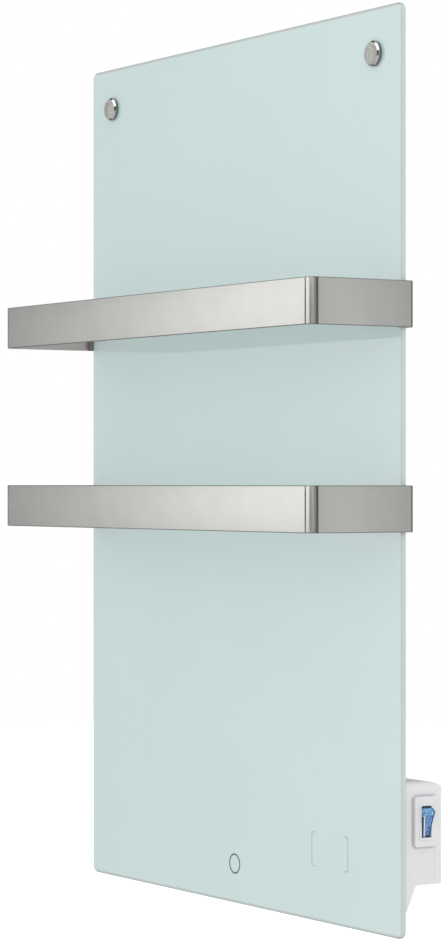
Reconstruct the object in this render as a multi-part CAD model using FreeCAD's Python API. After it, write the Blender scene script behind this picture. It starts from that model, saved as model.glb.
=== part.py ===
"""Infrared glass panel heater with two towel bars, hung on a wall rail.

Millimetres. +X is the viewer's right, +Y goes into the wall and +Z is up. The origin lies on the wall plane,
midway between the two wall screws, so the glass faces -Y. A depth is measured from the back of the glass
towards the wall, and a height from the bottom edge of the glass.
"""
import FreeCAD, Part
import math
import os

from FreeCAD import Vector

# Glass panel
GLASS_WIDTH = 600.0
GLASS_HEIGHT = 900.0
GLASS_THICKNESS = 6.0
GLASS_CORNER_RADIUS = 8.0
GLASS_ARRIS = 1.5
WALL_GAP = 50.0

# Clearances that many pieces share
LOOSE_FIT = 0.2
CLOSE_FIT = 0.05
OVERCUT = 1.0

# Cap bolts through the top corners of the glass
CAP_INSET = 45.0
CAP_DROP = 45.0
CAP_DIAMETER = 25.0
CAP_THICKNESS = 4.5
CAP_CHAMFER = 1.8
STUD_DIAMETER = 6.0
STUD_TAIL = 1.5
BUSH_WALL = 1.6
WASHER_DIAMETER = 22.0
FRONT_WASHER_THICKNESS = 0.5
REAR_WASHER_THICKNESS = 1.5
NUT_FLATS = 10.0
NUT_THICKNESS = 5.0

# Hanger rail behind the glass
HANGER_STOCK = 1.5
HANGER_HEIGHT = 36.0
HANGER_HOOK_DEPTH = 16.0
HANGER_LIP_HEIGHT = 14.0
HANGER_OVERHANG = 15.0
HANGER_INNER_BEND = 1.0

# Rail on the wall, with two screw slots
WALL_RAIL_STOCK = 2.0
WALL_RAIL_LENGTH = 360.0
WALL_RAIL_WEB_DROP = 14.0
WALL_RAIL_INNER_BEND = 1.0
WALL_SCREW_SPACING = 300.0
WALL_SCREW_RISE = 28.0
WALL_SCREW_EDGE = 11.0
SLOT_WIDTH = 6.0
SLOT_LENGTH = 14.0
HOOK_CLEARANCE = 1.0

# Lower wall spacers
SPACER_BOX_GAP = 44.0
SPACER_HEIGHT = 60.0
SPACER_BASE_DIAMETER = 36.0
SPACER_BASE_THICKNESS = 3.0
SPACER_POST_DIAMETER = 20.0
SPACER_TIP_DIAMETER = 24.0
SPACER_TIP_THICKNESS = 6.0
SPIGOT_DIAMETER = 9.0
SPIGOT_LENGTH = 3.0

# Heater tray and what it holds
TRAY_SIDE_INSET = 38.0
TRAY_BOX_GAP = 16.5
TRAY_HANGER_GAP = 12.0
TRAY_DEPTH = 14.0
TRAY_STOCK = 1.0
TRAY_FLANGE = 10.0
TRAY_WALL_RADIUS = 8.0
RIB_COUNT = 3
RIB_RISE = 2.0
RIB_WIDTH = 18.0
RIB_END_MARGIN = 40.0
BEAD_THICKNESS = 1.0
BEAD_MARGIN = 2.0
BEAD_WIDTH = 6.0
FOIL_THICKNESS = 0.5
FOIL_MARGIN = 6.0
FOIL_LEAST_STRIP = 34.0
FOIL_GAP = 6.0
FOIL_TAIL = 12.0
BACKING_THICKNESS = 0.8
PACKING_GAP = 0.5
CRIMP_WIDTH = 5.0
CRIMP_HEIGHT = 8.0
CRIMP_COVER = 2.5
CUTOUT_DIAMETER = 16.5
CUTOUT_THICKNESS = 8.0
BLADE_PITCH = 10.0
BLADE_WIDTH = 6.3
BLADE_LENGTH = 8.0
BLADE_THICKNESS = 0.8
JUMPER_LENGTH = 8.0
POCKET_MARGIN = 8.0
EARTH_STUD_DIAMETER = 4.0
EARTH_STUD_LENGTH = 7.0
EARTH_STUD_RISE = 26.0
EARTH_NUT_FLATS = 7.0
EARTH_NUT_THICKNESS = 3.2
EARTH_TAG_THICKNESS = 0.8

# Leads between tray and control box
LEAD_DIAMETER = 2.6
LEAD_DEPTH = 8.0
LEAD_SPREAD = 11.0
LEAD_RISE = 9.0
LEAD_RUN = 14.0
LEAD_BEND_SHARE = 0.45
GROMMET_MARGIN = 4.0
GROMMET_HALF_DEPTH = 3.5
GROMMET_LIP = 1.2

# Control box
BOX_INSET = 6.0
BOX_WIDTH = 130.0
BOX_TOP_HEIGHT = 148.5
BOX_BOTTOM_HEIGHT = 50.0
BOX_WALL_CLEARANCE = 1.0
BOX_WALL = 2.5
BOX_EDGE_RADIUS = 8.0
BOX_TOP_RADIUS = 12.0
BOX_BOTTOM_RADIUS = 6.0
CHIN_HEIGHT = 17.0
CHIN_DEPTH = 15.0
CHIN_FILLET = 4.0
COVER_GAP = 0.5
TAPE_THICKNESS = 1.0
TAPE_MARGIN = 2.0
BASE_THICKNESS = 3.0
BASE_CLEARANCE = 0.5
BOSS_INSET = 14.0
BOSS_DIAMETER = 8.0
COVER_SCREW_DIAMETER = 3.0
COVER_SCREW_HEAD = 6.0
COVER_SCREW_LENGTH = 12.0
SCREW_SLOT_WIDTH = 0.8
SCREW_SLOT_DEPTH = 0.8
VENT_WIDTH = 3.2
VENT_LENGTH = 20.5
VENT_PITCH = 6.0
VENT_MARGIN = 16.0

# Rocker switch in the side of the box
FRAME_WIDTH = 26.5
FRAME_HEIGHT = 48.5
FRAME_RAISE = 4.5
FRAME_CORNER_RADIUS = 2.0
FRAME_SOFT_EDGE = 0.5
SWITCH_DROP = 37.0
SWITCH_FORWARD = 1.1
SWITCH_LENGTH = 28.0
SWITCH_WALL = 1.2
SWITCH_CORNER_RADIUS = 0.8
BEZEL_LIP = 2.2
BEZEL_CORNER_RADIUS = 1.5
BEZEL_THICKNESS = 1.5
BEZEL_SOFT_EDGE = 0.5
ROCKER_LENGTH = 30.0
ROCKER_WIDTH = 11.0
ROCKER_TILT = 20.0
ROCKER_TIP_RISE = 8.0
ROCKER_DISH = 1.0
ROCKER_SKIRT = 3.0
ROCKER_SOFT_EDGE = 0.5
ROCKER_CLEARANCE = 0.3
PIVOT_DEPTH = 5.0
PIN_DIAMETER = 2.5
PIN_INSET = 0.2
LAMP_DIAMETER = 4.0
LAMP_LENGTH = 5.0
LAMP_SEAT = 3.0
TAB_SPREAD = 7.5

# Terminal block and cable gland
POLE_COUNT = 3
POLE_PITCH = 12.0
BLOCK_LEFT_INSET = 24.0
BLOCK_DROP = 53.5
BLOCK_HEIGHT = 20.0
BLOCK_THICKNESS = 14.0
BLOCK_END = 2.0
WIRE_PIT_DIAMETER = 4.0
WIRE_PIT_DEPTH = 7.0
CLAMP_SCREW_DIAMETER = 4.6
CLAMP_SCREW_LENGTH = 3.0
CLAMP_SCREW_SPREAD = 10.0
GLAND_THREAD_DIAMETER = 16.0
GLAND_FLATS = 22.0
GLAND_COLLAR = 5.0
GLAND_LOCKNUT = 5.0
GLAND_STEM = 7.0
GLAND_NECK_DIAMETER = 15.0
GLAND_NUT_WALL = 2.5
GLAND_NUT_END = 3.5
CABLE_DIAMETER = 8.0
SEAL_WALL = 2.0
SEAL_LENGTH = 6.0

# Towel bars
BAR_HEIGHT = 45.0
BAR_STOCK = 2.5
BAR_REACH = 109.5
BAR_SIDE_GAP = 3.5
BAR_BEND_RADIUS = 10.0
UPPER_BAR_HEIGHT = 609.5
LOWER_BAR_HEIGHT = 413.0
LIP_GAP = 2.0
LIP_LENGTH = 16.0
LIP_BEND_RADIUS = 3.5
GRIP_CLEARANCE = 0.15
GRIP_BACK_REACH = 13.0
GRIP_FRONT_REACH = 5.5
GRIP_FRONT = 3.5
GRIP_CORNER = 1.6
SET_SCREW_DIAMETER = 4.0
SET_SCREW_LENGTH = 5.0
SET_SCREW_SPREAD = 24.0
SET_SCREW_INSET = 8.0
SOCKET_FLATS = 2.0
SOCKET_DEPTH = 2.0

# Places worked out from the sizes above
GLASS_BACK = -WALL_GAP
GLASS_FRONT = GLASS_BACK - GLASS_THICKNESS
CAP_LINE = -WALL_SCREW_RISE
GLASS_TOP = CAP_LINE + CAP_DROP
GLASS_BOTTOM = GLASS_TOP - GLASS_HEIGHT
CAP_X = GLASS_WIDTH / 2 - CAP_INSET
BUSH_RADIUS = STUD_DIAMETER / 2 + LOOSE_FIT + BUSH_WALL
HANGER_TOP = CAP_LINE + HANGER_HEIGHT / 2

BOX_DEPTH = WALL_GAP - BOX_WALL_CLEARANCE
BOX_RIGHT = GLASS_WIDTH / 2 - BOX_INSET
BOX_LEFT = BOX_RIGHT - BOX_WIDTH
BOX_TOP = GLASS_BOTTOM + BOX_TOP_HEIGHT
BOX_BOTTOM = GLASS_BOTTOM + BOX_BOTTOM_HEIGHT
CHIN_TIP = GLASS_BOTTOM + CHIN_HEIGHT
CHIN_SLOPE = (CHIN_DEPTH - COVER_GAP) / (BOX_BOTTOM - CHIN_TIP)
BASE_BACK = TAPE_THICKNESS + BASE_THICKNESS

TRAY_HALF = GLASS_WIDTH / 2 - TRAY_SIDE_INSET
TRAY_LOW = BOX_TOP + TRAY_BOX_GAP
TRAY_HIGH = CAP_LINE - HANGER_HEIGHT / 2 - TRAY_HANGER_GAP
TRAY_INSIDE = TRAY_FLANGE + TRAY_STOCK
FOIL_LOW = TRAY_LOW + TRAY_INSIDE + FOIL_MARGIN
HEATER_BACK = FOIL_THICKNESS + BACKING_THICKNESS

NEUTRAL_X = BOX_LEFT + BLOCK_LEFT_INSET
EARTH_X = NEUTRAL_X + POLE_PITCH
LIVE_POLE_X = EARTH_X + POLE_PITCH
SWITCHED_X = LIVE_POLE_X + LEAD_SPREAD
HEATER_LIVE_X = SWITCHED_X + BLADE_PITCH
CRIMP_LOW = FOIL_LOW + (FOIL_TAIL - CRIMP_HEIGHT) / 2
CRIMP_HIGH = CRIMP_LOW + CRIMP_HEIGHT
BLADE_LOW = CRIMP_HIGH + JUMPER_LENGTH
CUTOUT_Z = BLADE_LOW + BLADE_LENGTH + CUTOUT_DIAMETER / 2
EARTH_STUD_Z = TRAY_LOW + TRAY_INSIDE + EARTH_STUD_RISE
BLOCK_HIGH = BOX_TOP - BLOCK_DROP
BLOCK_LOW = BLOCK_HIGH - BLOCK_HEIGHT

FRAME_Y = GLASS_BACK + BOX_DEPTH / 2
SWITCH_Y = FRAME_Y - SWITCH_FORWARD
SWITCH_Z = BOX_TOP - SWITCH_DROP
FRAME_FACE_X = BOX_RIGHT + FRAME_RAISE
BEZEL_FACE_X = FRAME_FACE_X + BEZEL_THICKNESS
SWITCH_BACK_X = FRAME_FACE_X - SWITCH_LENGTH
PIVOT = Vector(BEZEL_FACE_X - PIVOT_DEPTH, SWITCH_Y, SWITCH_Z)
ROCKER_RADIUS = ROCKER_LENGTH / 2
WELL_HALF_WIDTH = ROCKER_WIDTH / 2 + ROCKER_CLEARANCE
WELL_HALF_LENGTH = ROCKER_RADIUS + ROCKER_CLEARANCE
SKIRT_ANGLE = math.asin(ROCKER_SKIRT / ROCKER_RADIUS)
SKIRT_DROP = ROCKER_RADIUS * math.sin(math.radians(ROCKER_TILT) + SKIRT_ANGLE)
WELL_FLOOR_X = PIVOT.x - SKIRT_DROP - ROCKER_CLEARANCE
RIGHT_BOSS_X = SWITCH_BACK_X - BLADE_LENGTH - BOSS_DIAMETER / 2 - POCKET_MARGIN

SPACER_X = BOX_LEFT - SPACER_BOX_GAP
SPACER_Z = GLASS_BOTTOM + SPACER_HEIGHT

BAR_INNER_X = GLASS_WIDTH / 2 + BAR_SIDE_GAP
BAR_OUTER_X = BAR_INNER_X + BAR_STOCK
BAR_FRONT_Y = GLASS_FRONT - BAR_REACH
LIP_FRONT_Y = GLASS_BACK + LIP_GAP

ALONG_X = Vector(1, 0, 0)
ALONG_Y = Vector(0, 1, 0)
ALONG_Z = Vector(0, 0, 1)


def depth(distance):
    """Y of a distance behind the back of the glass."""
    return GLASS_BACK + distance


def rounded_wire(corners, place):
    """Closed wire through (a, b, radius) corners. A corner with a radius becomes a tangent arc."""
    points = [Vector(a, b, 0) for a, b, radius in corners]
    stretches = []
    for i, here in enumerate(points):
        back = (points[i - 1] - here).normalize()
        ahead = (points[(i + 1) % len(points)] - here).normalize()
        half_angle = back.getAngle(ahead) / 2
        radius = corners[i][2]
        reach = radius / math.tan(half_angle)
        middle = here + (back + ahead).normalize() * (radius / math.sin(half_angle) - radius)
        stretches.append((here + back * reach, middle, here + ahead * reach))
    edges = []
    for i, (start, middle, end) in enumerate(stretches):
        if corners[i][2] > 0:
            edges.append(Part.Arc(place(start), place(middle), place(end)).toShape())
        following = stretches[(i + 1) % len(stretches)][0]
        if end.distanceToPoint(following) > Part.Precision.confusion():
            edges.append(Part.LineSegment(place(end), place(following)).toShape())
    return Part.Wire(edges)


def facing_edges(shape, direction):
    """Edges of the flat faces that look along a direction."""
    faces = [face for face in shape.Faces if face.normalAt(0, 0).isEqual(direction, Part.Precision.angular())]
    return [edge for face in faces for edge in face.Edges]


def prism(corners, axis, start, end):
    """Solid with a rounded outline, carried along one axis.

    The outline uses the other two axes, in X, Y, Z order.
    """
    place_of_axis = "XYZ".index(axis)

    def place(point):
        coordinates = [point.x, point.y]
        coordinates.insert(place_of_axis, start)
        return Vector(*coordinates)

    travel = [0, 0, 0]
    travel[place_of_axis] = end - start
    return Part.Face(rounded_wire(corners, place)).extrude(Vector(*travel))


def rectangle(a_low, a_high, b_low, b_high, radius=0.0):
    """Four corners of a rectangle, all with the same radius."""
    corners = [(a_low, b_low), (a_high, b_low), (a_high, b_high), (a_low, b_high)]
    return [(a, b, radius) for a, b in corners]


def centred(a, b, a_size, b_size, radius=0.0):
    """Rectangle of a given size round a middle point."""
    return rectangle(a - a_size / 2, a + a_size / 2, b - b_size / 2, b + b_size / 2, radius)


def block(x_range, y_range, z_range):
    """Plain box from three (low, high) pairs."""
    low = Vector(x_range[0], y_range[0], z_range[0])
    return Part.makeBox(x_range[1] - low.x, y_range[1] - low.y, z_range[1] - low.z, low)


def rod(start, end, radius):
    """Round bar between two points."""
    axis = end - start
    return Part.makeCylinder(radius, axis.Length, start, axis)


def turned(profile, origin, axis):
    """Solid of revolution from (radius, distance along the axis) corners."""
    side = ALONG_X if abs(axis.x) < abs(axis.z) + abs(axis.y) else ALONG_Z
    corners = [origin + side * radius + axis * distance for radius, distance in profile]
    return Part.Face(Part.makePolygon(corners + corners[:1])).revolve(origin, axis, 360)


def ring(origin, axis, inner_radius, outer_radius, length):
    """Plain tube that starts at origin and runs along axis."""
    corners = [(inner_radius, 0), (outer_radius, 0), (outer_radius, length), (inner_radius, length)]
    return turned(corners, origin, axis)


def hexagon(origin, axis, flats, length):
    """Six-sided bar with the given size across flats."""
    side = ALONG_X if abs(axis.x) < abs(axis.z) + abs(axis.y) else ALONG_Z
    across = axis.cross(side)
    radius = flats / 2 / math.cos(math.pi / 6)
    turns = [i * math.pi / 3 for i in range(6)]
    corners = [origin + side * (radius * math.cos(t)) + across * (radius * math.sin(t)) for t in turns]
    return Part.Face(Part.makePolygon(corners + corners[:1])).extrude(axis * length)


def nut(origin, axis, flats, length, bore_radius):
    """Plain hexagon nut."""
    return hexagon(origin, axis, flats, length).cut(rod(origin, origin + axis * length, bore_radius))


def mirrored(shape):
    """The same piece on the other side of the middle plane."""
    return shape.mirror(Vector(0, 0, 0), ALONG_X)


def left_and_right(shape):
    """A piece on the right and its mirror image on the left."""
    return [mirrored(shape), shape]


def lead(points):
    """Insulated lead along straight runs joined by tangent arcs, as wide as the shorter run allows."""
    edges = []
    start = points[0]
    for before, here, after in zip(points, points[1:], points[2:]):
        back = before - here
        ahead = after - here
        reach = LEAD_BEND_SHARE * min(back.Length, ahead.Length)
        half_angle = back.getAngle(ahead) / 2
        radius = reach * math.tan(half_angle)
        arc_start = here + back.normalize() * reach
        arc_end = here + ahead.normalize() * reach
        bisector = (back + ahead).normalize()
        arc_middle = here + bisector * (radius / math.sin(half_angle) - radius)
        edges.append(Part.LineSegment(start, arc_start).toShape())
        edges.append(Part.Arc(arc_start, arc_middle, arc_end).toShape())
        start = arc_end
        print("lead bend radius", round(radius, 1))
    edges.append(Part.LineSegment(start, points[-1]).toShape())
    path = Part.Wire(edges)
    section = Part.Wire(Part.makeCircle(LEAD_DIAMETER / 2, points[0], points[1] - points[0]))
    tube = path.makePipeShell([section], True, True)
    expected = math.pi * LEAD_DIAMETER ** 2 / 4 * path.Length
    print("lead volume over section times length", round(tube.Volume / expected, 4))
    return tube


def glass_panel():
    """Toughened glass with rounded corners, ground arrises and two bolt holes."""
    outline = rectangle(-GLASS_WIDTH / 2, GLASS_WIDTH / 2, GLASS_BOTTOM, GLASS_TOP, GLASS_CORNER_RADIUS)
    plate = prism(outline, "Y", GLASS_FRONT, GLASS_BACK)
    plate = plate.makeChamfer(GLASS_ARRIS, facing_edges(plate, ALONG_Y) + facing_edges(plate, -ALONG_Y))
    hole_radius = BUSH_RADIUS + LOOSE_FIT
    for x in (-CAP_X, CAP_X):
        start = Vector(x, GLASS_FRONT - OVERCUT, CAP_LINE)
        plate = plate.cut(rod(start, start + ALONG_Y * (GLASS_THICKNESS + 2 * OVERCUT), hole_radius))
    return plate


def cap_bolt(x):
    """Turned stainless cap with a chamfered rim and a threaded stud."""
    radius = CAP_DIAMETER / 2
    stud = STUD_DIAMETER / 2
    clamped = FRONT_WASHER_THICKNESS + GLASS_THICKNESS + REAR_WASHER_THICKNESS + HANGER_STOCK
    end = CAP_THICKNESS + clamped + NUT_THICKNESS + STUD_TAIL
    profile = [(0, 0), (radius - CAP_CHAMFER, 0), (radius, CAP_CHAMFER), (radius, CAP_THICKNESS),
               (stud, CAP_THICKNESS), (stud, end), (0, end)]
    front = Vector(x, GLASS_FRONT - FRONT_WASHER_THICKNESS - CAP_THICKNESS, CAP_LINE)
    return turned(profile, front, ALONG_Y)


def cap_washer(y, thickness):
    """Rubber washer on the right-hand stud."""
    start = Vector(CAP_X, y, CAP_LINE)
    return ring(start, ALONG_Y, STUD_DIAMETER / 2 + LOOSE_FIT, WASHER_DIAMETER / 2, thickness)


def cap_bush():
    """Nylon bush that keeps the stud off the glass."""
    start = Vector(CAP_X, GLASS_FRONT, CAP_LINE)
    return ring(start, ALONG_Y, STUD_DIAMETER / 2 + LOOSE_FIT, BUSH_RADIUS, GLASS_THICKNESS)


def cap_nut():
    """Nut that clamps the hanger rail on the right-hand stud."""
    start = Vector(CAP_X, depth(REAR_WASHER_THICKNESS + HANGER_STOCK), CAP_LINE)
    return nut(start, ALONG_Y, NUT_FLATS, NUT_THICKNESS, STUD_DIAMETER / 2 + CLOSE_FIT)


def hanger_rail():
    """Folded steel rail with a hook along its top, open downwards."""
    front = depth(REAR_WASHER_THICKNESS)
    inside = front + HANGER_STOCK
    back = front + HANGER_HOOK_DEPTH
    lip = back - HANGER_STOCK
    low = CAP_LINE - HANGER_HEIGHT / 2
    under = HANGER_TOP - HANGER_STOCK
    lip_low = HANGER_TOP - HANGER_LIP_HEIGHT
    outer_bend = HANGER_INNER_BEND + HANGER_STOCK
    section = [(front, low, 0), (inside, low, 0), (inside, under, HANGER_INNER_BEND),
               (lip, under, HANGER_INNER_BEND), (lip, lip_low, 0), (back, lip_low, 0),
               (back, HANGER_TOP, outer_bend), (front, HANGER_TOP, outer_bend)]
    half_length = CAP_X + HANGER_OVERHANG
    rail = prism(section, "X", -half_length, half_length)
    for x in (-CAP_X, CAP_X):
        hole = rod(Vector(x, front - OVERCUT, CAP_LINE), Vector(x, inside + OVERCUT, CAP_LINE),
                   STUD_DIAMETER / 2 + LOOSE_FIT)
        rail = rail.cut(hole)
    return rail


def wall_rail():
    """Folded steel rail screwed to the wall. Its upturned lip carries the hanger rail's hook."""
    lip_back = depth(REAR_WASHER_THICKNESS + HANGER_HOOK_DEPTH - HANGER_STOCK - HOOK_CLEARANCE)
    lip_front = lip_back - WALL_RAIL_STOCK
    lip_top = HANGER_TOP - HANGER_STOCK
    low = CAP_LINE - WALL_RAIL_WEB_DROP
    web = low + WALL_RAIL_STOCK
    outer_bend = WALL_RAIL_INNER_BEND + WALL_RAIL_STOCK
    section = [(0, WALL_SCREW_EDGE, 0), (0, low, outer_bend), (lip_front, low, outer_bend),
               (lip_front, lip_top, 0), (lip_back, lip_top, 0), (lip_back, web, WALL_RAIL_INNER_BEND),
               (-WALL_RAIL_STOCK, web, WALL_RAIL_INNER_BEND), (-WALL_RAIL_STOCK, WALL_SCREW_EDGE, 0)]
    rail = prism(section, "X", -WALL_RAIL_LENGTH / 2, WALL_RAIL_LENGTH / 2)
    for x in (-WALL_SCREW_SPACING / 2, WALL_SCREW_SPACING / 2):
        slot = prism(centred(x, 0, SLOT_LENGTH, SLOT_WIDTH, SLOT_WIDTH / 2), "Y",
                     -WALL_RAIL_STOCK - OVERCUT, OVERCUT)
        rail = rail.cut(slot)
    return rail


def wall_spacer(x):
    """Moulded post, glued to the glass by its foot, with a spigot for the rubber tip."""
    post_end = WALL_GAP - SPACER_TIP_THICKNESS
    profile = [(0, 0), (SPACER_BASE_DIAMETER / 2, 0), (SPACER_BASE_DIAMETER / 2, SPACER_BASE_THICKNESS),
               (SPACER_POST_DIAMETER / 2, SPACER_BASE_THICKNESS), (SPACER_POST_DIAMETER / 2, post_end),
               (SPIGOT_DIAMETER / 2, post_end), (SPIGOT_DIAMETER / 2, post_end + SPIGOT_LENGTH),
               (0, post_end + SPIGOT_LENGTH)]
    return turned(profile, Vector(x, GLASS_BACK, SPACER_Z), ALONG_Y)


def spacer_tip():
    """Rubber tip that rests against the wall, on the right-hand post."""
    pocket = SPIGOT_DIAMETER / 2 + LOOSE_FIT
    pocket_end = SPIGOT_LENGTH + LOOSE_FIT
    radius = SPACER_TIP_DIAMETER / 2
    profile = [(pocket, 0), (radius, 0), (radius, SPACER_TIP_THICKNESS), (0, SPACER_TIP_THICKNESS),
               (0, pocket_end), (pocket, pocket_end)]
    return turned(profile, Vector(SPACER_X, -SPACER_TIP_THICKNESS, SPACER_Z), ALONG_Y)


def tray_slab(inset, start_depth, end_depth):
    """Slab with the tray's rounded outline, drawn in from the flange's edge."""
    outline = rectangle(-TRAY_HALF + inset, TRAY_HALF - inset, TRAY_LOW + inset, TRAY_HIGH - inset,
                        TRAY_WALL_RADIUS + TRAY_FLANGE - inset)
    return prism(outline, "Y", depth(start_depth), depth(end_depth))


def grommet_waist(z_low, z_high, lip):
    """Oblong plug round the three leads, wider by a lip."""
    left = NEUTRAL_X - GROMMET_MARGIN - lip
    right = SWITCHED_X + GROMMET_MARGIN + lip
    half_depth = GROMMET_HALF_DEPTH + lip
    middle = depth(LEAD_DEPTH)
    outline = rectangle(left, right, middle - half_depth, middle + half_depth, half_depth)
    return prism(outline, "Z", z_low, z_high)


def lead_grommet(z_low, z_high):
    """Rubber grommet in a wall between two heights, with a lip on each side and a hole for each lead."""
    plug = grommet_waist(z_low, z_high, -CLOSE_FIT)
    plug = plug.fuse(grommet_waist(z_low - GROMMET_LIP, z_low, GROMMET_LIP))
    plug = plug.fuse(grommet_waist(z_high, z_high + GROMMET_LIP, GROMMET_LIP)).removeSplitter()
    length = z_high - z_low + 2 * GROMMET_LIP
    starts = [Vector(x, depth(LEAD_DEPTH), z_low - GROMMET_LIP) for x in (NEUTRAL_X, EARTH_X, SWITCHED_X)]
    return plug.cut([rod(start, start + ALONG_Z * length, LEAD_DIAMETER / 2 + CLOSE_FIT) for start in starts])


def rear_tray():
    """Pressed steel tray with a flange that lies on the sealant bead."""
    flange = tray_slab(0, BEAD_THICKNESS, BEAD_THICKNESS + TRAY_STOCK)
    shell = flange.fuse(tray_slab(TRAY_FLANGE, BEAD_THICKNESS, TRAY_DEPTH)).removeSplitter()
    shell = shell.cut(tray_slab(TRAY_INSIDE, 0, TRAY_DEPTH - TRAY_STOCK))
    wall_low = TRAY_LOW + TRAY_FLANGE
    shell = shell.cut(grommet_waist(wall_low - OVERCUT, wall_low + TRAY_STOCK + OVERCUT, 0))
    spacing = (TRAY_HIGH - TRAY_LOW) / (RIB_COUNT + 1)
    for i in range(RIB_COUNT):
        middle = TRAY_LOW + spacing * (i + 1)
        shell = shell.fuse(tray_rib(middle, 0, TRAY_DEPTH + RIB_RISE))
        shell = shell.cut(tray_rib(middle, TRAY_STOCK, TRAY_DEPTH + RIB_RISE - TRAY_STOCK))
    return shell.removeSplitter()


def tray_rib(middle, inset, end_depth):
    """Round-ended rib pressed outwards across the tray's back, drawn in by an inset."""
    length = 2 * (TRAY_HALF - TRAY_INSIDE - RIB_END_MARGIN - inset)
    width = RIB_WIDTH - 2 * inset
    outline = centred(0, middle, length, width, width / 2)
    return prism(outline, "Y", depth(TRAY_DEPTH - TRAY_STOCK), depth(end_depth))


def tray_seal():
    """Silicone bead between the tray's flange and the glass."""
    outer = tray_slab(BEAD_MARGIN, 0, BEAD_THICKNESS)
    return outer.cut(tray_slab(BEAD_MARGIN + BEAD_WIDTH, -OVERCUT, BEAD_THICKNESS + OVERCUT))


def heater_foil():
    """Etched heating foil across the tray: vertical strips linked in turn, with two tails for the crimps."""
    high = TRAY_HIGH - TRAY_INSIDE - FOIL_MARGIN
    strips_low = FOIL_LOW + FOIL_TAIL + FOIL_GAP
    right = TRAY_HALF - TRAY_INSIDE - FOIL_MARGIN
    count = 2 * int((2 * right + FOIL_GAP) / (2 * (FOIL_LEAST_STRIP + FOIL_GAP)))
    pitch = (2 * right + FOIL_GAP) / count
    strip = pitch - FOIL_GAP
    thickness = (depth(0), depth(FOIL_THICKNESS))
    pieces = []
    for i in range(count):
        strip_right = right - i * pitch
        strip_low = FOIL_LOW if i in (0, count - 1) else strips_low
        pieces.append(block((strip_right - strip, strip_right), thickness, (strip_low, high)))
        if i < count - 1:
            link = (high - strip, high) if i % 2 == 0 else (strips_low, strips_low + strip)
            pieces.append(block((strip_right - pitch - strip, strip_right), thickness, link))
    tail = (FOIL_LOW, FOIL_LOW + FOIL_TAIL)
    pieces.append(block((HEATER_LIVE_X - CRIMP_WIDTH, right), thickness, tail))
    pieces.append(block((-right, NEUTRAL_X + CRIMP_WIDTH), thickness, tail))
    return pieces[0].multiFuse(pieces[1:]).removeSplitter()


def foil_crimp(x, clearance, end_depth):
    """Crimp soldered on a foil tail, or the window for it where a clearance is given."""
    half_width = CRIMP_WIDTH / 2 + clearance
    return block((x - half_width, x + half_width), (depth(FOIL_THICKNESS), depth(end_depth)),
                 (CRIMP_LOW - clearance, CRIMP_HIGH + clearance))


def heater_backing():
    """Mica sheet behind the foil, with windows for the crimps."""
    sheet = tray_slab(TRAY_INSIDE + PACKING_GAP, FOIL_THICKNESS, HEATER_BACK)
    for x in (NEUTRAL_X, HEATER_LIVE_X):
        sheet = sheet.cut(foil_crimp(x, LOOSE_FIT, HEATER_BACK + OVERCUT))
    return sheet


def insulation_board():
    """Mineral fibre board that fills the tray, with a pocket for the wiring."""
    board = tray_slab(TRAY_INSIDE + PACKING_GAP, HEATER_BACK, TRAY_DEPTH - TRAY_STOCK)
    pocket = block((NEUTRAL_X - POCKET_MARGIN, HEATER_LIVE_X + POCKET_MARGIN), (depth(0), depth(TRAY_DEPTH)),
                   (TRAY_LOW, CUTOUT_Z + CUTOUT_DIAMETER / 2 + POCKET_MARGIN))
    return board.cut(pocket)


def thermal_cutout():
    """Round bimetal cut-out with two push-on blades."""
    middle = (SWITCHED_X + HEATER_LIVE_X) / 2
    start = Vector(middle, depth(HEATER_BACK), CUTOUT_Z)
    body = rod(start, start + ALONG_Y * CUTOUT_THICKNESS, CUTOUT_DIAMETER / 2)
    for x in (SWITCHED_X, HEATER_LIVE_X):
        blade = block((x - BLADE_WIDTH / 2, x + BLADE_WIDTH / 2),
                      (depth(LEAD_DEPTH) - BLADE_THICKNESS / 2, depth(LEAD_DEPTH) + BLADE_THICKNESS / 2),
                      (BLADE_LOW, CUTOUT_Z))
        body = body.fuse(blade)
    return body.removeSplitter()


def earth_stud():
    """Stud welded inside the tray, with a shoulder that the earth tag sits on."""
    start = Vector(EARTH_X, depth(TRAY_DEPTH - TRAY_STOCK), EARTH_STUD_Z)
    radius = EARTH_STUD_DIAMETER / 2
    profile = [(0, 0), (2 * radius, 0), (2 * radius, EARTH_TAG_THICKNESS), (radius, EARTH_TAG_THICKNESS),
               (radius, EARTH_STUD_LENGTH), (0, EARTH_STUD_LENGTH)]
    return turned(profile, start, -ALONG_Y)


def earth_tag():
    """Ring tag on the earth stud, with a crimp for the earth lead below it."""
    radius = EARTH_STUD_DIAMETER / 2
    face = Vector(EARTH_X, depth(TRAY_DEPTH - TRAY_STOCK - EARTH_TAG_THICKNESS), EARTH_STUD_Z)
    plate = rod(face, face - ALONG_Y * EARTH_TAG_THICKNESS, 2 * radius)
    crimp_high = EARTH_STUD_Z - 2 * radius
    across = (EARTH_X - CRIMP_WIDTH / 2, EARTH_X + CRIMP_WIDTH / 2)
    crimp = block(across, (depth(LEAD_DEPTH - CRIMP_COVER), face.y), (crimp_high - CRIMP_HEIGHT, crimp_high))
    neck = block(across, (face.y - EARTH_TAG_THICKNESS, face.y), (crimp_high, EARTH_STUD_Z))
    tag = plate.fuse([crimp, neck]).removeSplitter()
    return tag.cut(rod(face, face - ALONG_Y * EARTH_TAG_THICKNESS, radius + LOOSE_FIT))


def earth_nut():
    """Nut that holds the earth tag."""
    face = Vector(EARTH_X, depth(TRAY_DEPTH - TRAY_STOCK - 2 * EARTH_TAG_THICKNESS), EARTH_STUD_Z)
    return nut(face, -ALONG_Y, EARTH_NUT_FLATS, EARTH_NUT_THICKNESS, EARTH_STUD_DIAMETER / 2 + CLOSE_FIT)


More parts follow.
